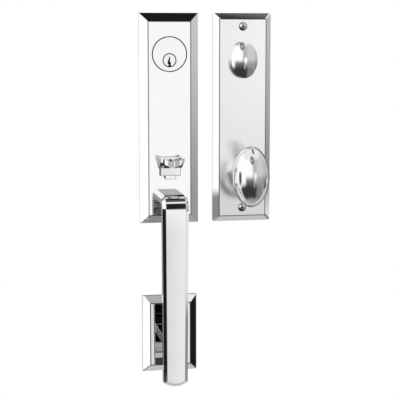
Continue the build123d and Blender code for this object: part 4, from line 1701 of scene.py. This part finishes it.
class Tent:
    """Tones that only the metal mirrors, each laid over a part of the directions round the set.

    A direction has the length 1: x runs to the right, y away from the viewer and z up.
    """

    BLACK = 0.012

    def __init__(self, tree: Tree) -> None:
        """Begin with the wall behind the viewer, which is brighter at the left.

        Args:
            tree: Node tree of the world.
        """
        coords = tree.node("ShaderNodeTexCoord")
        self.x, self.y, self.z = tree.parts(tree.sock(coords, "Generated"))
        self.tone = (self.x.rise(-0.2, 0.12) * -0.58 + 1.14).toward(0.66, self.x.rise(0.3, 0.55))

    def paint(self, tone: Union[Sock, float], where: Sock) -> None:
        """Lay a tone over the ones before.

        Args:
            tone: Its brightness, where 1 is white.
            where: Its share by direction, from 0 to 1.
        """
        self.tone = self.tone.toward(tone, where)

    def roof(self) -> None:
        """Paint the pale roof and the dark ring that the thumbturn and the knob mirror."""
        x, y, z = self.x, self.y, self.z
        self.paint(0.92, z.rise(0.6, 0.75))
        side, height = x + 0.07, z - 0.66
        away = (side * side + height * height).through("SQRT")
        self.paint(0.12, away.rise(0.04, 0.08) * away.fall(0.14, 0.24) * (-y).rise(0.4, 0.5))

    def foreground(self) -> None:
        """Paint the dark ground before the set, in two bands."""
        x, y, z = self.x, self.y, self.z
        near = y.fall(-0.1, 0.05)
        self.paint(x.rise(0.2, 0.4) * 0.22 + 0.13, z.fall(-0.22, 0.05) * near * (-x).fall(0.6, 0.8))
        between = near * (-x).fall(0.88, 0.93) * x.fall(0.8, 0.88)
        self.paint(x.rise(0.25, 0.55) * 0.2 + 0.04, z.fall(-0.46, -0.26) * z.rise(-0.88, -0.8) * between)

    def faces(self) -> None:
        """Paint what the faces mirror: the inner plate's at the right, the outer plate's at the left."""
        x, z = self.x, self.z
        front = (-self.y).rise(0.85, 0.9)
        slope = x / (-self.y).through("MAXIMUM", 0.05)
        inner = front * slope.rise(0.185, 0.205) * z.fall(0.06, 0.16) * z.rise(-0.3, -0.18)
        self.paint(z.rise(-0.15, -0.05) * 0.54 + 0.70, inner * x.fall(0.3, 0.4))
        outer = front * slope.fall(0.185, 0.205) * x.rise(0.11, 0.13)
        self.paint(1.01, outer * z.fall(0.05, 0.12) * z.rise(-0.4, -0.35))
        self.paint(slope.rise(0.15, 0.182) * 0.17 + 0.77, outer * z.fall(-0.19, -0.158))
        self.paint(0.5, outer * z.rise(0.05, 0.13))

    def grip_bend(self) -> None:
        """Paint the dark strip that the grip's upper bend mirrors."""
        plane = self.x.rise(0.146, 0.150) * self.x.fall(0.175, 0.179)
        self.paint(self.BLACK, plane * (-self.y).rise(0.55, 0.62) * self.z.rise(0.17, 0.21))

    def behind(self) -> None:
        """Paint the side behind the set, in steps of height and of side."""
        x, z = self.x, self.z
        tone = (z.fall(-0.22, -0.19) * -0.75 + 0.8).toward(0.5, z.rise(0.02, 0.08))
        tone = tone.toward(0.22, x.rise(0.19, 0.205)).toward(0.3, x.fall(-0.1, -0.05))
        self.paint(tone, self.y.rise(0.35, 0.6))

    def overhead(self) -> None:
        """Paint the dark card overhead, which the plates' upper bevels mirror, and its slit."""
        x, y, z = self.x, self.y, self.z
        inner, outer = x.rise(0.187, 0.192), x.fall(0.187, 0.192)
        top = z.rise(0.9, 0.95)
        self.paint(0.2, inner * top * y.rise(-0.1, -0.08) * x.fall(0.25, 0.3))
        wedge = inner * (y + x * 0.092).fall(-0.0455, -0.0443) + outer
        slit = y.rise(-0.135, -0.125) * y.fall(-0.095, -0.085) * x.fall(0.185, 0.2)
        card = z.rise(0.74, 0.78) * y.rise(-0.36, -0.31) * wedge * x.rise(0.06, 0.1) * x.fall(0.25, 0.3)
        self.paint(self.BLACK, card * (1.0 - slit))
        self.paint(0.3, slit * top * x.rise(0.1, 0.13))

    def left_side(self) -> None:
        """Paint the left side: a grey patch low in front, and a black card beside the set."""
        y, z = self.y, self.z
        left = (-self.x).rise(0.93, 0.945)
        self.paint(0.27, left * y.fall(-0.28, -0.26) * z.fall(-0.125, -0.112))
        card = y.rise(-0.26, -0.23) * y.fall(0.0, 0.1) * z.rise(-0.42, -0.38) * z.fall(0.06, 0.12)
        self.paint(self.BLACK, left * card)

    def right_side(self) -> None:
        """Paint the right side: grey, with a light patch and a black one low beside the set."""
        y, z = self.y, self.z
        right = self.x.rise(0.9, 0.94)
        self.paint(z.rise(-0.14, 0.03) * 0.26 + 0.29, right)
        self.paint(0.9, right * y.rise(0.09, 0.12) * z.fall(-0.16, -0.11) * z.rise(-0.25, -0.22))
        self.paint(self.BLACK, right * y.rise(-0.1, -0.06) * y.fall(0.06, 0.09) * z.fall(-0.19, -0.14))

    def ground(self) -> None:
        """Paint the ground below the set, with a dark streak towards the viewer."""
        x, y = self.x, self.y
        streak = x.rise(0.1415, 0.1435) * x.fall(0.149, 0.151) * y.fall(-0.04, 0.0)
        self.paint((y.rise(-0.02, 0.05) * 0.2 + 0.38).toward(0.06, streak), self.z.fall(-0.93, -0.88))

    def build(self) -> Sock:
        """Lay all the tones in order, where the later ones lie on top.

        Returns:
            Brightness by direction.
        """
        self.roof()
        self.foreground()
        self.faces()
        self.grip_bend()
        self.behind()
        self.overhead()
        self.left_side()
        self.right_side()
        self.ground()
        return self.tone


@dataclass(frozen=True)
class Studio:
    """White tent with dark cards, soft lamps, a pale floor and the camera."""

    camera_place: Point = (-0.23146, -1.44948, 0.0272)
    yaw: float = 0.185
    pitch: float = 0.136
    lens: float = 106.70
    floor_size: float = 8.0
    floor_height: float = -0.47

    def world(self) -> None:
        """Make the world: white behind the object, and the tent's tones that only the metal shows."""
        world = bpy.data.worlds.new("tent")
        bpy.context.scene.world = world
        tree = Tree(world)
        tones = (Tent(tree).build(), (0.72, 0.72, 0.73, 1), (1, 1, 1, 1))
        cards, soft, white = (
            tree.node("ShaderNodeBackground", {}, {"Color": tone, "Strength": 1.0}) for tone in tones)
        path = tree.node("ShaderNodeLightPath")
        glossy = tree.node("ShaderNodeMixShader", {}, {
            0: tree.sock(path, "Is Glossy Ray"), 1: tree.sock(soft, 0), 2: tree.sock(cards, 0)})
        seen = tree.node("ShaderNodeMixShader", {}, {
            0: tree.sock(path, "Is Camera Ray"), 1: tree.sock(glossy, 0), 2: tree.sock(white, 0)})
        tree.node("ShaderNodeOutputWorld", {}, {"Surface": tree.sock(seen, 0)})

    def floor(self) -> None:
        """Lay a pale floor below the set, which takes its shadow and stays out of the metal."""
        bpy.ops.object.select_all(action="DESELECT")
        bpy.ops.mesh.primitive_plane_add(size=self.floor_size, location=(0, 0, self.floor_height))
        obj = Bench.settle("studio_floor")
        made = bpy.data.materials.new("pale_floor")
        tree = Tree(made)
        mottle = tree.noise(tree.place(), 6.0, 3.0)
        matt = tree.node("ShaderNodeBsdfPrincipled", {}, {
            "Base Color": tree.tint((0.90, 0.90, 0.90), (0.93, 0.93, 0.93), mottle), "Roughness": 0.9})
        glow = tree.node("ShaderNodeEmission", {}, {"Color": (1, 1, 1, 1), "Strength": 1.0})
        path = tree.node("ShaderNodeLightPath")
        mixed = tree.node("ShaderNodeMixShader", {}, {
            0: tree.sock(path, "Is Camera Ray"), 1: tree.sock(matt, 0), 2: tree.sock(glow, 0)})
        tree.node("ShaderNodeOutputMaterial", {}, {"Surface": tree.sock(mixed, 0)})
        obj.data.materials.append(made)
        obj.visible_glossy = False

    def card(self, name: str, x: float, low: Pair, high: Pair, fade: Pair, tones: Pair) -> None:
        """Stand an upright card across X, which only the metal shows.

        Args:
            name: Name of the card.
            x: Its place in millimetres.
            low: Its nearest y and its foot in millimetres.
            high: Its farthest y and its top in millimetres.
            fade: Heights between which its tone changes.
            tones: Its tone below and above them.
        """
        obj = Bench.block(name, (x - 0.1, low[0], low[1]), (x + 0.1, high[0], high[1]))
        made = bpy.data.materials.new(name)
        tree = Tree(made)
        height = tree.parts(tree.place())[2]
        share = height.rise(fade[0] * MM, fade[1] * MM)
        glow = tree.node("ShaderNodeEmission", {}, {
            "Color": tree.tint((tones[0],) * 3, (tones[1],) * 3, share), "Strength": 1.0})
        tree.node("ShaderNodeOutputMaterial", {}, {"Surface": tree.sock(glow, 0)})
        obj.data.materials.append(made)
        obj.visible_camera = False
        obj.visible_diffuse = False
        obj.visible_shadow = False
        obj.visible_transmission = False

    def lamp(self, name: str, place: Point, size: float, power: float) -> None:
        """Hang a soft square lamp that looks at the set.

        Args:
            name: Name of the lamp.
            place: Its place in metres.
            size: Length of its side in metres.
            power: Its power in watts.
        """
        data = bpy.data.lights.new(name, "AREA")
        data.shape = "SQUARE"
        data.size = size
        data.energy = power
        obj = bpy.data.objects.new(name, data)
        bpy.context.scene.collection.objects.link(obj)
        obj.location = place
        aim = -obj.location.normalized()
        obj.rotation_mode = "QUATERNION"
        obj.rotation_quaternion = aim.to_track_quat("-Z", "Y")
        obj.visible_glossy = False

    def camera(self) -> None:
        """Place the camera where the photograph was taken from."""
        data = bpy.data.cameras.new("view")
        data.lens = self.lens
        data.sensor_width = 36.0
        data.clip_start = 0.05
        obj = bpy.data.objects.new("view", data)
        bpy.context.scene.collection.objects.link(obj)
        obj.location = self.camera_place
        obj.rotation_euler = (math.pi / 2 - self.pitch, 0, -self.yaw)
        bpy.context.scene.camera = obj

    def build(self) -> None:
        """Make the world, the floor, the lamps and the camera."""
        self.world()
        self.floor()
        self.card("card_left_of_gap", x=44.0, low=(-18, -210), high=(12, 62), fade=(-210, 62),
                  tones=(0.32, 0.60))
        self.card("card_right_of_gap", x=48.0, low=(-18, -206), high=(12, 60), fade=(-174, -158),
                  tones=(0.27, 1.12))
        self.lamp("key_lamp", place=(-0.9, -1.3, 1.3), size=1.2, power=16)
        self.lamp("fill_lamp", place=(1.3, -1.0, 0.4), size=1.0, power=7)
        self.camera()
        bpy.context.scene.view_settings.view_transform = "Standard"


def main() -> None:
    """Load the frame, build the set and the studio."""
    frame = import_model()
    HandleSet(frame, Rack()).build()
    Studio().build()


if __name__ == "__main__":
    main()
